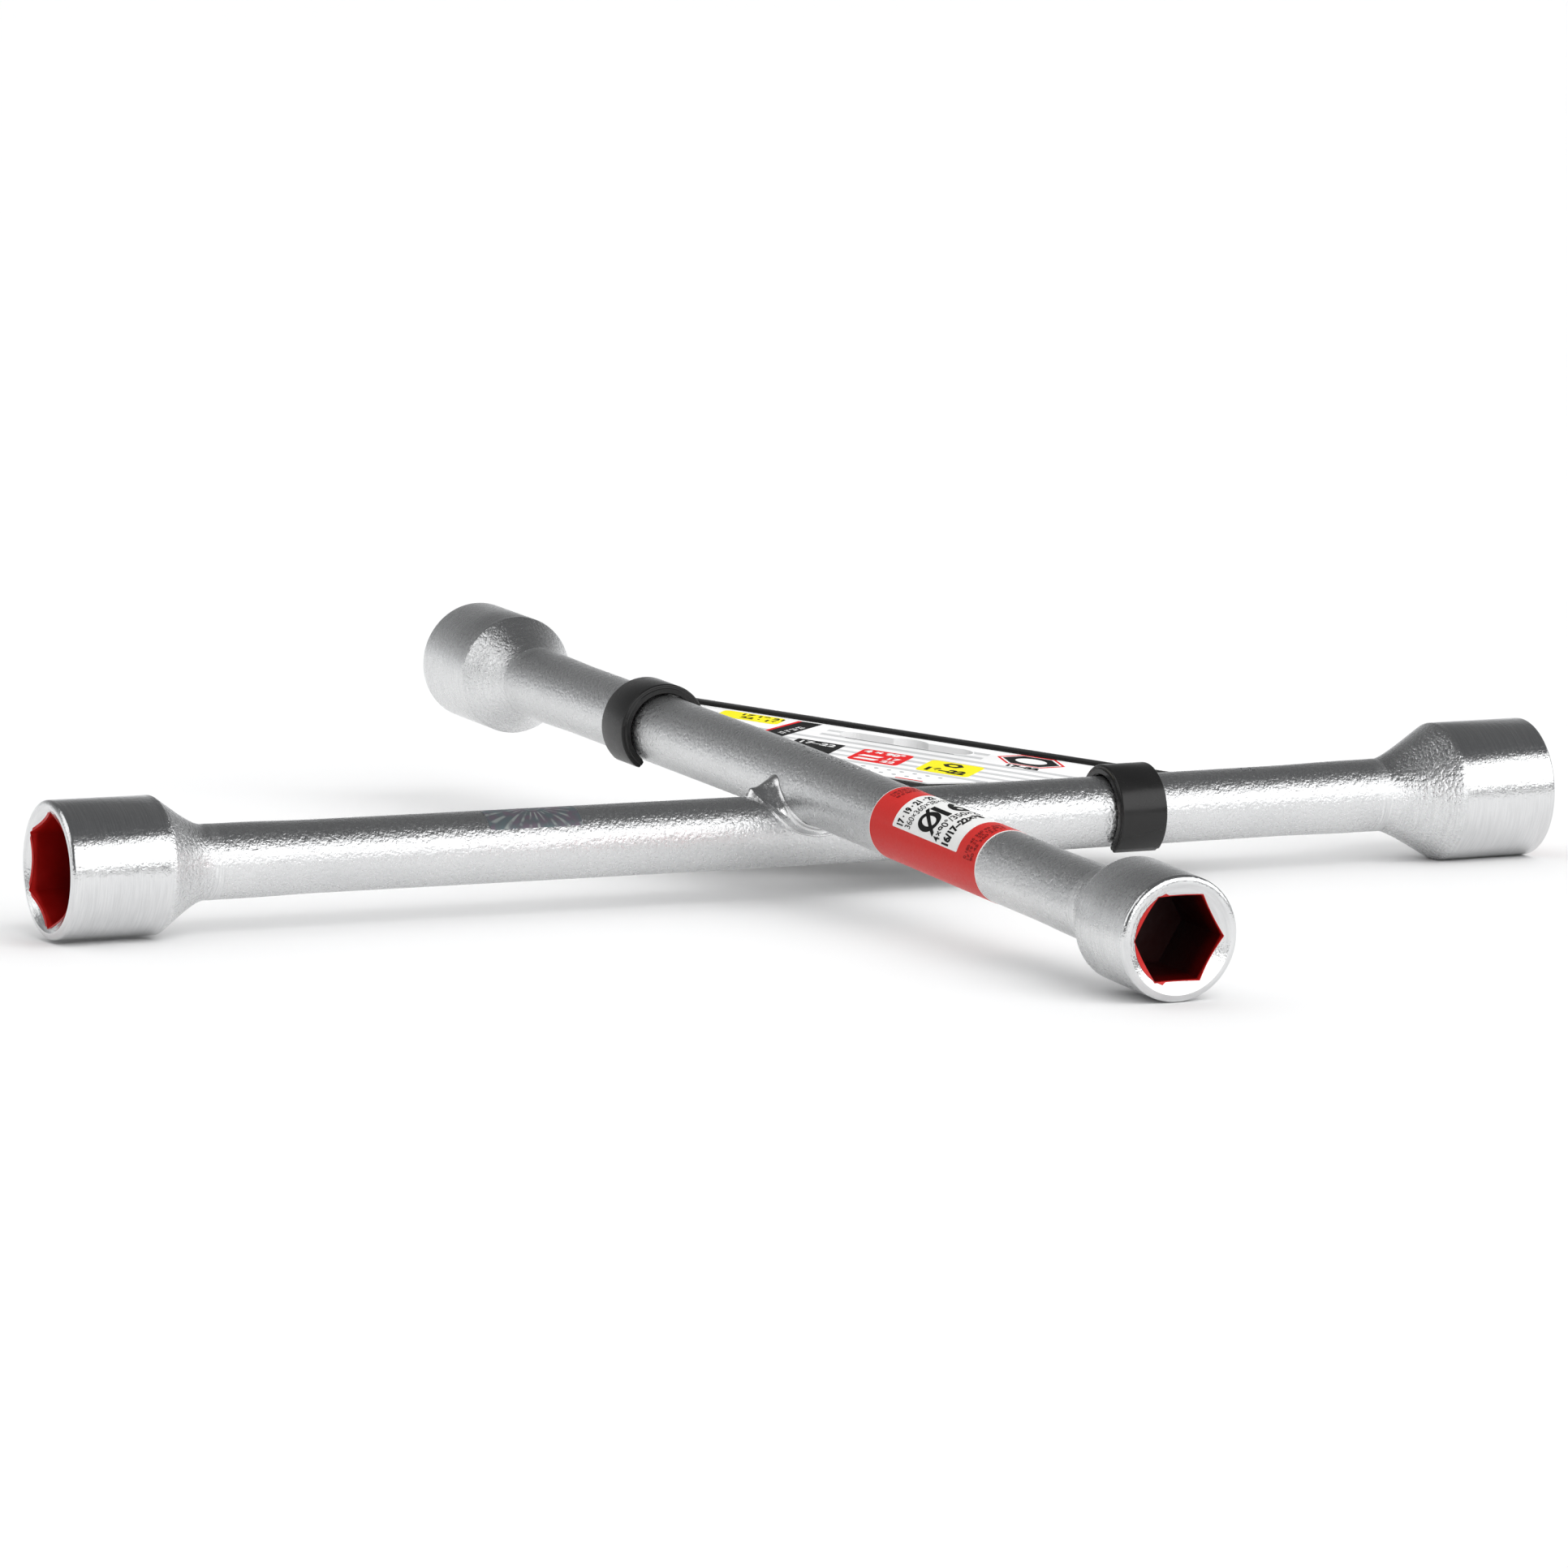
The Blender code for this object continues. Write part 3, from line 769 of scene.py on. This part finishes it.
def neck_weld(size, paint):
    """The low ring of the friction weld, ground smooth."""
    kind, side, *_ = SOCKETS[size]
    half = WELD_WIDTH / 2 + GAP
    placement = arm_frame(kind, side, BAR_END + half)
    edge = BAR_RADIUS * END_SWELL
    spans = [i / 4 - 1 for i in range(9)]
    crown = [(edge + 0.00004 * (1 - across * across), -across * half) for across in spans]
    profile = [(0.0, half), *crown, (0.0, -half)]
    obj = smooth(turned(f"neck_weld_{size}_ring", profile, placement, 112, paint))
    finish_piece(obj, "wrench", "weld_steel", f"neck_weld_{size}")


# ---- weld at the crossing

# One quarter of the weld, in millimetres from the crossing: its edge on the upper bar's flank, the
# crest next to it, the crest of the lower lip, and the edge on the lower bar. The others mirror it.
HIGH_EDGE = [(-7.45, 0.0, 8.0), (-7.75, -2.4, 7.1), (-8.0, -4.0, 5.1), (-7.7, -5.9, 3.0),
             (-6.9, -7.4, 1.0), (-5.6, -8.4, -0.6), (-3.6, -8.9, -2.1), (0.0, -9.3, -2.9)]
HIGH_CREST = [(-8.35, 0.0, 7.15), (-8.55, -2.2, 6.1), (-8.5, -3.9, 4.1), (-8.1, -5.6, 2.2),
              (-7.2, -7.05, 0.35), (-6.05, -8.0, -1.05), (-3.75, -8.6, -2.6), (0.0, -9.0, -3.5)]
LOW_CREST = [(-13.7, 0.0, 4.8), (-12.9, -2.4, 3.6), (-11.85, -4.6, 2.15), (-10.3, -6.6, 0.2),
             (-8.3, -7.8, -1.95), (-6.8, -8.25, -3.25), (-4.2, -8.5, -4.4), (0.0, -8.5, -5.1)]
LOW_EDGE = [(-14.9, 0.0, 2.9), (-13.9, -2.2, 2.6), (-12.6, -4.6, 1.4), (-11.0, -6.6, -0.6),
            (-8.9, -7.6, -2.7), (-7.0, -7.9, -3.9), (-4.1, -8.0, -4.9), (0.0, -8.0, -5.6)]
WELD_STATIONS = 48  # in each quarter
WELD_PROFILE = 64
WELD_ROOT = 0.0012  # depth of the weld's hidden edges in the bars


def along_edge(edge, share):
    """A point of an edge, smooth through its corners, with mirrored neighbours at both ends."""
    points = [Vector(point) for point in edge]
    points = [points[1] * Vector((1, -1, 1)), *points, points[-2] * Vector((-1, 1, 1))]
    position = share * (len(edge) - 1)
    index = min(int(position), len(edge) - 2)
    t = position - index
    a, b, c, d = points[index : index + 4]
    return 0.5 * (2 * b + (c - a) * t + (2 * a - 5 * b + 4 * c - d) * t * t
                  + (3 * b - a - 3 * c + d) * t ** 3) / 1000


def bell(value, centre, width):
    return math.exp(-abs((value - centre) / width) ** 1.7)


def weld_height(place, width, high, low, share, seed):
    """Height of the weld's surface over the line between its edges, place metres down that line.

    high and low are the crests: a lip against the upper bar, broad at its start, and a rolled
    double lip on the lower bar. Between them lies a rough valley."""
    start = 1 - smoothstep(0.0, 0.38, share)
    nub = 1 - smoothstep(0.02, 0.24, share)
    middle = place / width * 2 - 1
    sag = (0.00085 - 0.0006 * nub - 0.0002 * start) * (1 - 0.45 * smoothstep(0.6, 1.0, share))
    base = -sag * (1 - middle * middle)

    def lip(crest, breadth):
        at = crest[0] / width * 2 - 1
        return (crest[1] + sag * (1 - at * at)) * bell(place, crest[0], breadth)

    surface = base + lip(high, 0.00034 + 0.0012 * start) + lip(low, 0.00046 + 0.0008 * nub)
    double = smoothstep(0.08, 0.16, share) * (1 - smoothstep(0.5, 0.7, share))
    surface -= 0.00026 * double * bell(place, low[0] - 0.00012, 0.00013)
    valley = bell(place, (high[0] + low[0]) / 2, (low[0] - high[0]) / 3.2) * (1 - nub)
    surface += 0.00012 * noise.noise(Vector((seed * 0.3, place * 1300, 0.0))) * valley
    ends = smoothstep(0.0, 0.0003 + 0.0004 * start, place) * smoothstep(0.0, 0.0003, width - place)
    return surface * ends - 0.00028 * (1 - ends)


def centre_weld(paint):
    rings = []
    total = 4 * WELD_STATIONS
    for i in range(total):
        quarter, step = divmod(i, WELD_STATIONS)
        share = step / WELD_STATIONS
        if quarter % 2:
            share = 1 - share
        mirror = Vector(((1, 1, 1), (-1, 1, 1), (-1, -1, 1), (1, -1, 1))[quarter])
        top, high, lip, low = (along_edge(edge, share) * mirror
                               for edge in (HIGH_EDGE, HIGH_CREST, LOW_CREST, LOW_EDGE))
        out_top = Vector((top.x, 0, top.z - AXIS_SPACING / 2)).normalized()
        out_low = Vector((0, low.y, low.z + AXIS_SPACING / 2)).normalized()
        outwards = out_top + out_low
        width = (low - top).length
        down = (low - top) / width
        outwards = (outwards - down * outwards.dot(down)).normalized()
        crests = [((point - top).dot(down), (point - top).dot(outwards)) for point in (high, lip)]
        ring = []
        for j in range(WELD_PROFILE):
            place = j / (WELD_PROFILE - 1) * width
            height = weld_height(place, width, *crests, share, i)
            ring.append(top + down * place + outwards * height)
        ring.append(low - out_low * WELD_ROOT - outwards * 0.001)
        ring.append((top + low) / 2 - outwards * 0.0045)
        ring.append(top - out_top * WELD_ROOT - outwards * 0.001)
        rings.append(ring)
    bead = loft("centre_weld_bead", rings, paint, Matrix.Translation(CROSSING), closed=True)
    finish_piece(smooth(bead, 60), "wrench", "weld_steel", "centre_weld")


# ---- label and seal

LABEL_RADIUS = BAR_RADIUS + 0.0001
PANEL = (0.0896, 14, 0.0308, 0.015)  # distance, first angle, length, width round the bar
PANEL_THICKNESS = 0.00003
BACKING_EDGE = 0.0003
INK_LIFT = 0.00006
INK_THICKNESS = 0.00002
SIGN_DISTANCE = 0.0767  # of the diameter sign: an oval and a slash
SIGN_ANGLE = 22
SIGN_SIZE = (0.0054, 0.0082)
SIGN_STROKE = 0.0013


def foil_sleeve(name, placement, half, radius, paint):
    """Foil all the way round a bar, up to this distance from the placement both ways."""
    inner, chamfer = BAR_RADIUS - 0.0001, 0.00003
    section = [(inner, half), (radius - chamfer, half), (radius, half - chamfer),
               (radius, -half + chamfer), (radius - chamfer, -half), (inner, -half)]
    return smooth(swept(name, section, placement, paint))


def size_label(red, white, ink, shade):
    """Red foil all round the bar on a white backing, with a white panel of generic figures."""
    start, stop = LABEL
    placement = arm_frame("upper", 1, -(start + stop) / 2)
    half = (stop - start) / 2
    sleeve = foil_sleeve("size_label_foil", placement, half - BACKING_EDGE, LABEL_RADIUS, red)
    sleeve.visible_diffuse = False  # keeps its red off the floor
    finish_piece(sleeve, "wrench", "label_foil", "size_label")
    backing = foil_sleeve("size_label_backing", placement, half, LABEL_RADIUS - 0.00004, white)
    finish_piece(backing, "wrench", "label_foil")

    distance, angle, length, width = PANEL
    panel = flat_mesh("size_label_panel", [rectangle(0, width, 0, length, 0.0004)])
    wrap(panel, arm_frame("upper", 1, -distance), LABEL_RADIUS, angle, PANEL_THICKNESS, white)
    ink_radius = LABEL_RADIUS + INK_LIFT

    def line(name, words, size, distance, first, last, weight=0, paint=ink):
        """Figures between two angles, with their feet at a distance from the crossing."""
        text = text_mesh("size_label_" + name, words, size / 1000, weight / 1000)
        xs = [vertex.co.x for vertex in text.data.vertices]
        squeeze = math.radians(last - first) * ink_radius / (max(xs) - min(xs))
        text.data.transform(Matrix.Diagonal((squeeze, 1.0, 1.0, 1.0))
                            @ Matrix.Translation((-min(xs), 0, 0)))
        wrap(text, arm_frame("upper", 1, -distance / 1000), ink_radius, first, INK_THICKNESS, paint)

    line("sizes", "17 · 19 · 21 · 22", 3.7, 63.2, 19, 92, 0.17)
    line("reach", "360×360×38×17", 3.6, 66.8, 19, 104)
    wide, high = SIGN_SIZE
    oval, hole = ([(wide / 2 + 0.0002 + x * (wide / 2 - inset), high / 2 + y * (high / 2 - inset))
                   for x, y in round_outline(1, 40, *turn)]
                  for inset, turn in ((0.0, (0, 360)), (SIGN_STROKE, (360, 0))))
    sign = (arm_frame("upper", 1, -SIGN_DISTANCE), ink_radius, SIGN_ANGLE)
    wrap(flat_mesh("size_label_oval", [oval, hole]), *sign, INK_THICKNESS, ink)
    slash = [(-0.0001, -0.0006), (0.0009, -0.0006), (wide + 0.0005, high + 0.0006),
             (wide - 0.0005, high + 0.0006)]
    wrap(flat_mesh("size_label_slash", [slash]), *sign, INK_THICKNESS * 1.5, ink)
    line("diameter", "16", 11.5, 76.7, 62, 106, 0.35)
    line("angle", "4×90°/350×22", 4, 80.7, 17, 110, 0.04)
    line("class", "16/17–22×38", 4, 85.1, 17, 98, 0.2)
    rows = ("0 180 45 360 90 270", "17 19 21 22 16 38 4", "90 45 360 22 17")
    for row, words in enumerate(rows):
        line(f"small_{row}", words, 1.5, 94.2 + row * 1.5, 10, 92, 0.02, shade)
        line(f"first_{row}", words, 1.4, 51 + row * 1.5, 58, 100, 0.02, shade)


def foil_sticker(paint):
    start, stop = STICKER
    first, last = STICKER_ANGLES
    radius = BAR_RADIUS + 0.00004
    placement = arm_frame("lower", 1, -(start + stop) / 2)
    width = math.radians(last - first) * radius
    half = (stop - start) / 2
    obj = flat_mesh("foil_sticker_seal", [rectangle(0, width, -half, half, 0.0006)])
    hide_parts("foil_sticker")
    wrap(obj, placement, radius, first, 0.00006, paint, "seal_foil")


# ---- holder

CLIP_STEPS = 72
CLIP_EDGE = 0.00045  # rounding of the clip's edges
LEDGE = 0.00055  # width and depth of the step on the clip's sides


def clip_section():
    """Half the clip's cross-section, mirrored: pairs of height over the inner face and width."""
    half = CLIP_WIDTH / 2
    top = CLIP_WALL
    side = [(0.0, half - 0.0003), (0.0003, half)]
    side += [(top * 0.55, half), (top * 0.62, half - LEDGE * 0.5), (top * 0.7, half - LEDGE * 0.6)]
    side += arc((top - CLIP_EDGE, half - LEDGE * 0.6 - CLIP_EDGE), CLIP_EDGE, 90, 0, 5)
    return side + [(h, -w) for h, w in side[::-1]]


def holder_clip(kind, paint):
    """A C-shaped clip with stepped sides and blunt rounded lips."""
    section = clip_section()
    rings = []
    first, last = CLIP_SPAN
    for i in range(CLIP_STEPS + 1):
        share = i / CLIP_STEPS
        angle = math.radians(first + (last - first) * share)
        end = min(share, 1 - share) * CLIP_STEPS
        blunt = (0.72, 0.93, 1.0)[min(int(end), 2)]
        ring = []
        for height, width in section:
            middle = CLIP_WALL / 2
            radius = CLIP_INNER + middle + (height - middle) * blunt
            shrink = 1 - (1 - blunt) * 0.12
            ring.append((radius * math.cos(angle), radius * math.sin(angle), width * shrink))
        rings.append(ring)
    placement = arm_frame(kind, 1, CLIP_DISTANCE)
    shell = smooth(loft(f"holder_clip_{kind}_shell", rings, paint, placement), 38)
    finish_piece(shell, "holder", "holder_plastic", f"holder_clip_{kind}")


def trapezoid(narrow, front, wide, back, corner):
    return rounded([(-narrow, front), (narrow, front), (wide, back), (-wide, back)], corner)


def wedge(front, back, extra, corner):
    """The outline between the bars: close to them in front, clear of the clips at the rail."""
    narrow = front - (CLIP_INNER + extra) * math.sqrt(2)
    wide = back - (CLIP_INNER + CLIP_WALL + GAP + extra) * math.sqrt(2)
    return trapezoid(narrow, front, wide, back, corner)


def slot_outline(grow=0.0):
    half = SLOT_LENGTH / 2 - SLOT_WIDTH / 2
    radius, bump = SLOT_WIDTH / 2 + grow, SLOT_BUMP + grow
    lean = math.degrees(math.asin(radius / bump))
    right = arc((half, SLOT_DISTANCE), radius, -90, 90, 14)
    top = arc((0, SLOT_DISTANCE), bump, lean, 180 - lean, 12)
    left = arc((-half, SLOT_DISTANCE), radius, 90, 270, 14)
    return right + top + left


def slab(name, outlines, bottom, top, paint, bevel=0.0002):
    """A flat closed piece between two heights in the holder's axes, with bevelled edges."""
    obj = flat_mesh(name, outlines)
    obj.data.transform(Matrix.Translation((0, 0, bottom)))
    with edited(obj.data) as bm:
        bmesh.ops.dissolve_limit(bm, angle_limit=0.01, verts=bm.verts, edges=bm.edges)
    thicken(obj, top - bottom)
    modifier = obj.modifiers.new("Bevel", "BEVEL")
    modifier.width = bevel
    modifier.segments = 2
    modifier.limit_method = "ANGLE"
    modifier.angle_limit = math.radians(60)
    apply_modifiers(obj)
    dress(obj, paint, holder_frame())
    return smooth(outward(obj), 40)


def holder_plate(paint, rail_paint):
    face = -CARD_THICKNESS
    outline = wedge(PLATE_FRONT, PLATE_BACK, 0.0, PLATE_CORNER)
    plate = slab("holder_plate_body", [outline, slot_outline(0.0002)[::-1]],
                 face - PLATE_THICKNESS, face - 0.00005, paint)
    finish_piece(plate, "holder", "holder_plastic", "holder_plate")
    wide = PLATE_BACK - (CLIP_INNER + CLIP_WALL + GAP) * math.sqrt(2)
    outline = trapezoid(wide - RAIL_WIDTH + 0.001, PLATE_BACK - RAIL_WIDTH,
                        wide - 0.0006, PLATE_BACK - 0.0001, 0.0009)
    rail = slab("holder_plate_rail", [outline], face - RAIL_SINK, face + RAIL_HEIGHT,
                rail_paint, 0.00035)
    finish_piece(rail, "holder", "holder_plastic")


def clip_tab(kind, near, paint):
    """The flat web that joins a clip to the plate and comes this near to the bar's axis."""
    side = 1 if kind == "lower" else -1
    first, last = CLIP_DISTANCE - CLIP_WIDTH / 2, CLIP_DISTANCE + CLIP_WIDTH / 2
    far = CLIP_INNER + CLIP_WALL + 3 * GAP
    corners = [(first, far), (first, near), (last, near), (last, far)]
    outline = [(side * (a - d) / math.sqrt(2), (a + d) / math.sqrt(2)) for a, d in corners[::side]]
    bottom, top = -CARD_THICKNESS - PLATE_THICKNESS, -CARD_THICKNESS - 0.0001
    tab = slab(f"holder_clip_{kind}_tab", [outline], bottom, top, paint)
    finish_piece(tab, "holder", "holder_plastic")


def info_card(paint, edge_paint):
    back = PLATE_BACK - RAIL_WIDTH - GAP
    outline = wedge(CARD_FRONT, back, CARD_MARGIN, CARD_CORNER)
    card = slab("info_card_sheet", [outline, slot_outline(0.0)[::-1]], -CARD_THICKNESS, 0.0,
                paint, 0.00008)
    finish_piece(card, "holder", "card_print", "info_card")
    wall = flat_mesh("info_card_slot_edge", [slot_outline(0.00015), slot_outline(-0.0001)[::-1]])
    wall.data.transform(Matrix.Translation((0, 0, -CARD_THICKNESS - PLATE_THICKNESS + 0.0001)))
    thicken(wall, CARD_THICKNESS + PLATE_THICKNESS - 0.00005)
    dress(wall, edge_paint, holder_frame())
    finish_piece(wall, "holder", "card_print")


DOT_PITCH = 3.05  # millimetres


def card_marks(yellow, red, black, white, grey, shade):
    """Generic blocks of colour, pictograms and figures printed on the card, and a painted shadow
    along the slot's front edge, in millimetres.
    """

    def block(name, paint, *outlines, x=0, y=0, widen=1, height=MARK_LIFT):
        mark = flat_mesh("card_" + name, [[(a / 1000, b / 1000) for a, b in o] for o in outlines])
        mark.data.transform(Matrix.Diagonal((widen, 1, 1, 1)))
        lay(mark, x / 1000, y / 1000, 0, height, paint)

    def figures(name, paint, words, size, x, y, weight, squeeze, turn=0):
        text = text_mesh("card_" + name, words, size / 1000, weight / 1000, squeeze)
        lay(text, x / 1000, y / 1000, turn, MARK_OVER, paint)

    block("yellow_left", yellow, rectangle(-46, -31, 68, 76, 1.5))
    figures("yellow_left_sizes", black, "17 19 21", 2.8, -41.5, 73, 0.1, 1.1)
    figures("yellow_left_more", black, "22 · 16", 2.8, -40.5, 69.8, 0.1, 1.1)
    block("strip", black, [(-30.3, 58.6), (-25.4, 56), (-22.6, 76.5), (-27.4, 76.2)])
    block("strip_line", red, [(-31.1, 58.6), (-30.3, 58.6), (-27.4, 76.2), (-28.3, 76.2)])
    figures("strip_sizes", white, "17 19 21 22", 2.2, -26.2, 59, 0.06, 1, 80)
    block("black", black, rectangle(-21.5, -10.2, 44, 57, 0.4))
    figures("black_sizes", white, "17–22", 3.8, -20.7, 52.8, 0.1, 0.95)
    block("red", red, rectangle(-5.5, 6.5, 43.1, 57, 1.4))
    figures("red_angle", white, "4 × 90°", 3.6, -4.6, 53.2, 0.22, 0.86)
    for row, words in enumerate(("22", "17")):
        foot = 44.9 + row * 3.6
        slanted = [(-4.4, foot), (0.5, foot), (1.2, foot + 1.8), (-3.6, foot + 1.8)]
        block(f"red_bar_{row}", white, slanted, height=MARK_OVER)
        figures(f"red_sizes_{row}", white, words, 3.4, 2, foot - 0.2, 0.12, 0.95)
    block("yellow", yellow, rectangle(11, 23.6, 42.7, 56.5, 1.4))
    figures("yellow_sizes", black, "16–22", 5, 12.2, 44.4, 0.3, 0.78)
    block("yellow_nut", black, round_outline(2.5, 6), round_outline(1.1, 20, 360, 0), x=17, y=53,
          height=MARK_OVER)
    for name, paint, outlines in (
        ("nut_ring", red, (round_outline(6.8, 6), round_outline(6.2, 6)[::-1])),
        ("nut", black, (round_outline(5.6, 6), round_outline(3.1, 28, 360, 0))),
    ):
        block(name, paint, *outlines, x=29.5, y=71.5, widen=1.2)
    figures("nut_sizes", black, "17–22", 2.8, 25.8, 62.6, 0.14, 1.15)
    # Painted shadow: a thin dark strip where the slot's front wall throws shade on the card.
    block("slot_edge_shadow", shade, rectangle(-13.4, 12.7, 65.9, 66.2))
    for row, (first, count, y) in enumerate(((-8.5, 10, 37.7), (-3, 7, 33.8))):
        for step in range(count):
            block(f"dot_{row}_{step}", grey, round_outline(0.55, 12), x=first + step * DOT_PITCH, y=y)
    block("front_line", red, rectangle(10.5, 17, 30.58, 31.3))


# ---- make everything

zinc = bar_zinc()
upper = bar("upper", zinc)
lower = bar("lower", zinc)
for middle, words in ((0.1027, "19"), (-0.1085, "17")):
    stamp(upper, words, "upper", middle, 87, -90)
stamp(lower, "22", "lower", 0.11, 105, 90)
stamp(upper, "17 19 21 22 16 38 360 350", "upper", STAMP_ROW, 78, -90, 0.0036)
for obj, kind in ((upper, "upper"), (lower, "lower")):
    finish_piece(smooth(obj, 30), "wrench", "bar_steel", f"{kind}_bar")

bright = socket_zinc("socket_zinc", 0.13, 0.22)
satin = socket_zinc("socket_zinc_satin", 0.24, 0.34)
ring_paint = ring_zinc()
# The upper bar's sockets get a darker copy of the lacquer: more painted shade in their holes than the
# lower bar's.
lacquers = {"lower": red_lacquer("red_lacquer", 0.21, 0.024),
            "upper": red_lacquer("red_lacquer_shaded", 0.045, 0.0075)}
for size in SOCKETS:
    kind = SOCKETS[size][0]
    socket(size, bright if kind == "lower" else satin)
    lining(size, lacquers[kind])
    run_over(size, lacquers[kind])
    neck_weld(size, ring_paint)
centre_weld(weld_zinc())

INKS = {  # colour, roughness, shine
    "label_red": ((0.62, 0.016, 0.012), 0.4, 0.22),
    "label_white": ((0.82, 0.82, 0.81), 0.42, 0.22),
    "black_ink": ((0.008, 0.008, 0.008), 0.5),
    "dark_red_ink": ((0.22, 0.012, 0.012), 0.4),
    "white_ink": ((0.84, 0.84, 0.84), 0.4),
    "yellow_ink": ((0.9, 0.8, 0.0), 0.5),
    "red_ink": ((0.74, 0.003, 0.005), 0.5),
    "grey_ink": ((0.4, 0.41, 0.42), 0.4),
    # shade_ink only paints the shadow along the slot's front edge on the card.
    "shade_ink": ((0.16, 0.16, 0.165), 0.5),
}
inks = {name: plain_print(name, *look) for name, look in INKS.items()}
size_label(*(inks[name] for name in ("label_red", "label_white", "black_ink", "dark_red_ink")))
foil_sticker(hologram_foil())

plastic = black_plastic()
holder_clip("upper", plastic)
holder_clip("lower", plastic)
holder_plate(plastic, black_plastic("rail_plastic", 0.3))
clip_tab("upper", 0.0098, plastic)
clip_tab("lower", 0.0072, plastic)
info_card(card_print(), plain_print("card_edge", (0.86, 0.86, 0.86), 0.45))
card_marks(*(inks[f"{name}_ink"] for name in ("yellow", "red", "black", "white", "grey", "shade")))


# ---- floor, lights and camera

FLOOR_SLOPE = 0.0595  # the wrench lies on three of its sockets, a little out of level
floor = mesh_object("floor", [(-9, -9, 9 * FLOOR_SLOPE), (9, -9, 9 * FLOOR_SLOPE),
                              (9, 9, -9 * FLOOR_SLOPE), (-9, 9, -9 * FLOOR_SLOPE)],
                    [(0, 1, 2, 3)], floor_paint())


def towards(azimuth, elevation):
    """Azimuth 0 is in front of the wrench (-Y) and 90 is +X."""
    a, e = math.radians(azimuth), math.radians(elevation)
    return Vector((math.sin(a) * math.cos(e), -math.cos(a) * math.cos(e), math.sin(e)))


def lamp(name, kind, energy, azimuth, elevation, distance):
    light = bpy.data.lights.new(name, kind)
    light.energy = energy
    obj = linked(name, light)
    direction = towards(azimuth, elevation)
    turn = direction.to_track_quat("Z", "Y").to_matrix().to_4x4()
    obj.matrix_world = Matrix.Translation(CROSSING + direction * distance) @ turn
    obj.visible_camera = False
    return obj


def softbox(name, azimuth, elevation, distance, width, height, radiance):
    """A rectangular soft light that the metal mirrors."""
    energy = radiance * math.pi * width * height
    obj = lamp(name, "AREA", energy, azimuth, elevation, distance)
    obj.data.shape = "RECTANGLE"
    obj.data.size, obj.data.size_y = width, height
    obj.visible_diffuse = False


def skylight(name, azimuth, elevation, spread, strength):
    """Even soft light on the floor, the print and the plastic."""
    obj = lamp(name, "SUN", strength, azimuth, elevation, 3.0)
    obj.data.angle = math.radians(spread)
    obj.visible_glossy = False


softbox("front_softbox", 28, 29, 2.0, 6.0, 1.45, 1.9)
softbox("left_softbox", -106, 36, 2.0, 1.4, 2.0, 1.2)
skylight("sky_front", 12, 36, 60, 2.3)
skylight("sky_top", 170, 72, 120, 2.1)

# The surroundings the metal mirrors: behind, the white sweep darkens with height; in front, dark
world = bpy.data.worlds.new("studio")
bpy.context.scene.world = world
sky = Nodes(world, "Generated")
sweep = sky.tree.nodes.new("ShaderNodeValToRGB")
levels = ((0.0, 0.95), (0.12, 0.52), (0.3, 0.3), (0.55, 0.15), (1.0, 0.13))
for position, _ in levels[1:-1]:
    sweep.color_ramp.elements.new(position)
for element, (position, level) in zip(sweep.color_ramp.elements, levels):
    element.position = position
    element.color = (level, level * 1.01, level * 1.02, 1.0)
sky.plug(sweep.inputs["Fac"], sky.axis("Z"))
around = sky.mix(sky.remap(sky.axis("Y"), -0.1, 0.5), (0.125, 0.127, 0.13), sweep.outputs["Color"])
sky.plug(sky.tree.nodes["Background"].inputs["Color"], around)

CAMERA_AIM = CROSSING + Vector((-0.004, 0.0029, 0.0048))
CAMERA_AZIMUTH, CAMERA_ELEVATION, CAMERA_ROLL = -26.04, 10.18, 1.77  # degrees
CAMERA_DISTANCE = 2.2208
CAMERA_LENS, CAMERA_SENSOR = 230.3, 36.0  # millimetres
turn = math.radians(CAMERA_AZIMUTH)
right = Vector((math.cos(turn), math.sin(turn), 0))
back = towards(CAMERA_AZIMUTH, CAMERA_ELEVATION)
camera = linked("camera", bpy.data.cameras.new("camera"))
camera.data.lens = CAMERA_LENS
camera.data.sensor_width = CAMERA_SENSOR
camera.data.clip_end = 100.0
placement = axes_matrix(right, back.cross(right), back, CAMERA_AIM + back * CAMERA_DISTANCE)
camera.matrix_world = placement @ Matrix.Rotation(math.radians(CAMERA_ROLL), 4, "Z")
bpy.context.scene.camera = camera
bpy.context.scene.view_settings.view_transform = "Standard"

bpy.context.view_layer.update()
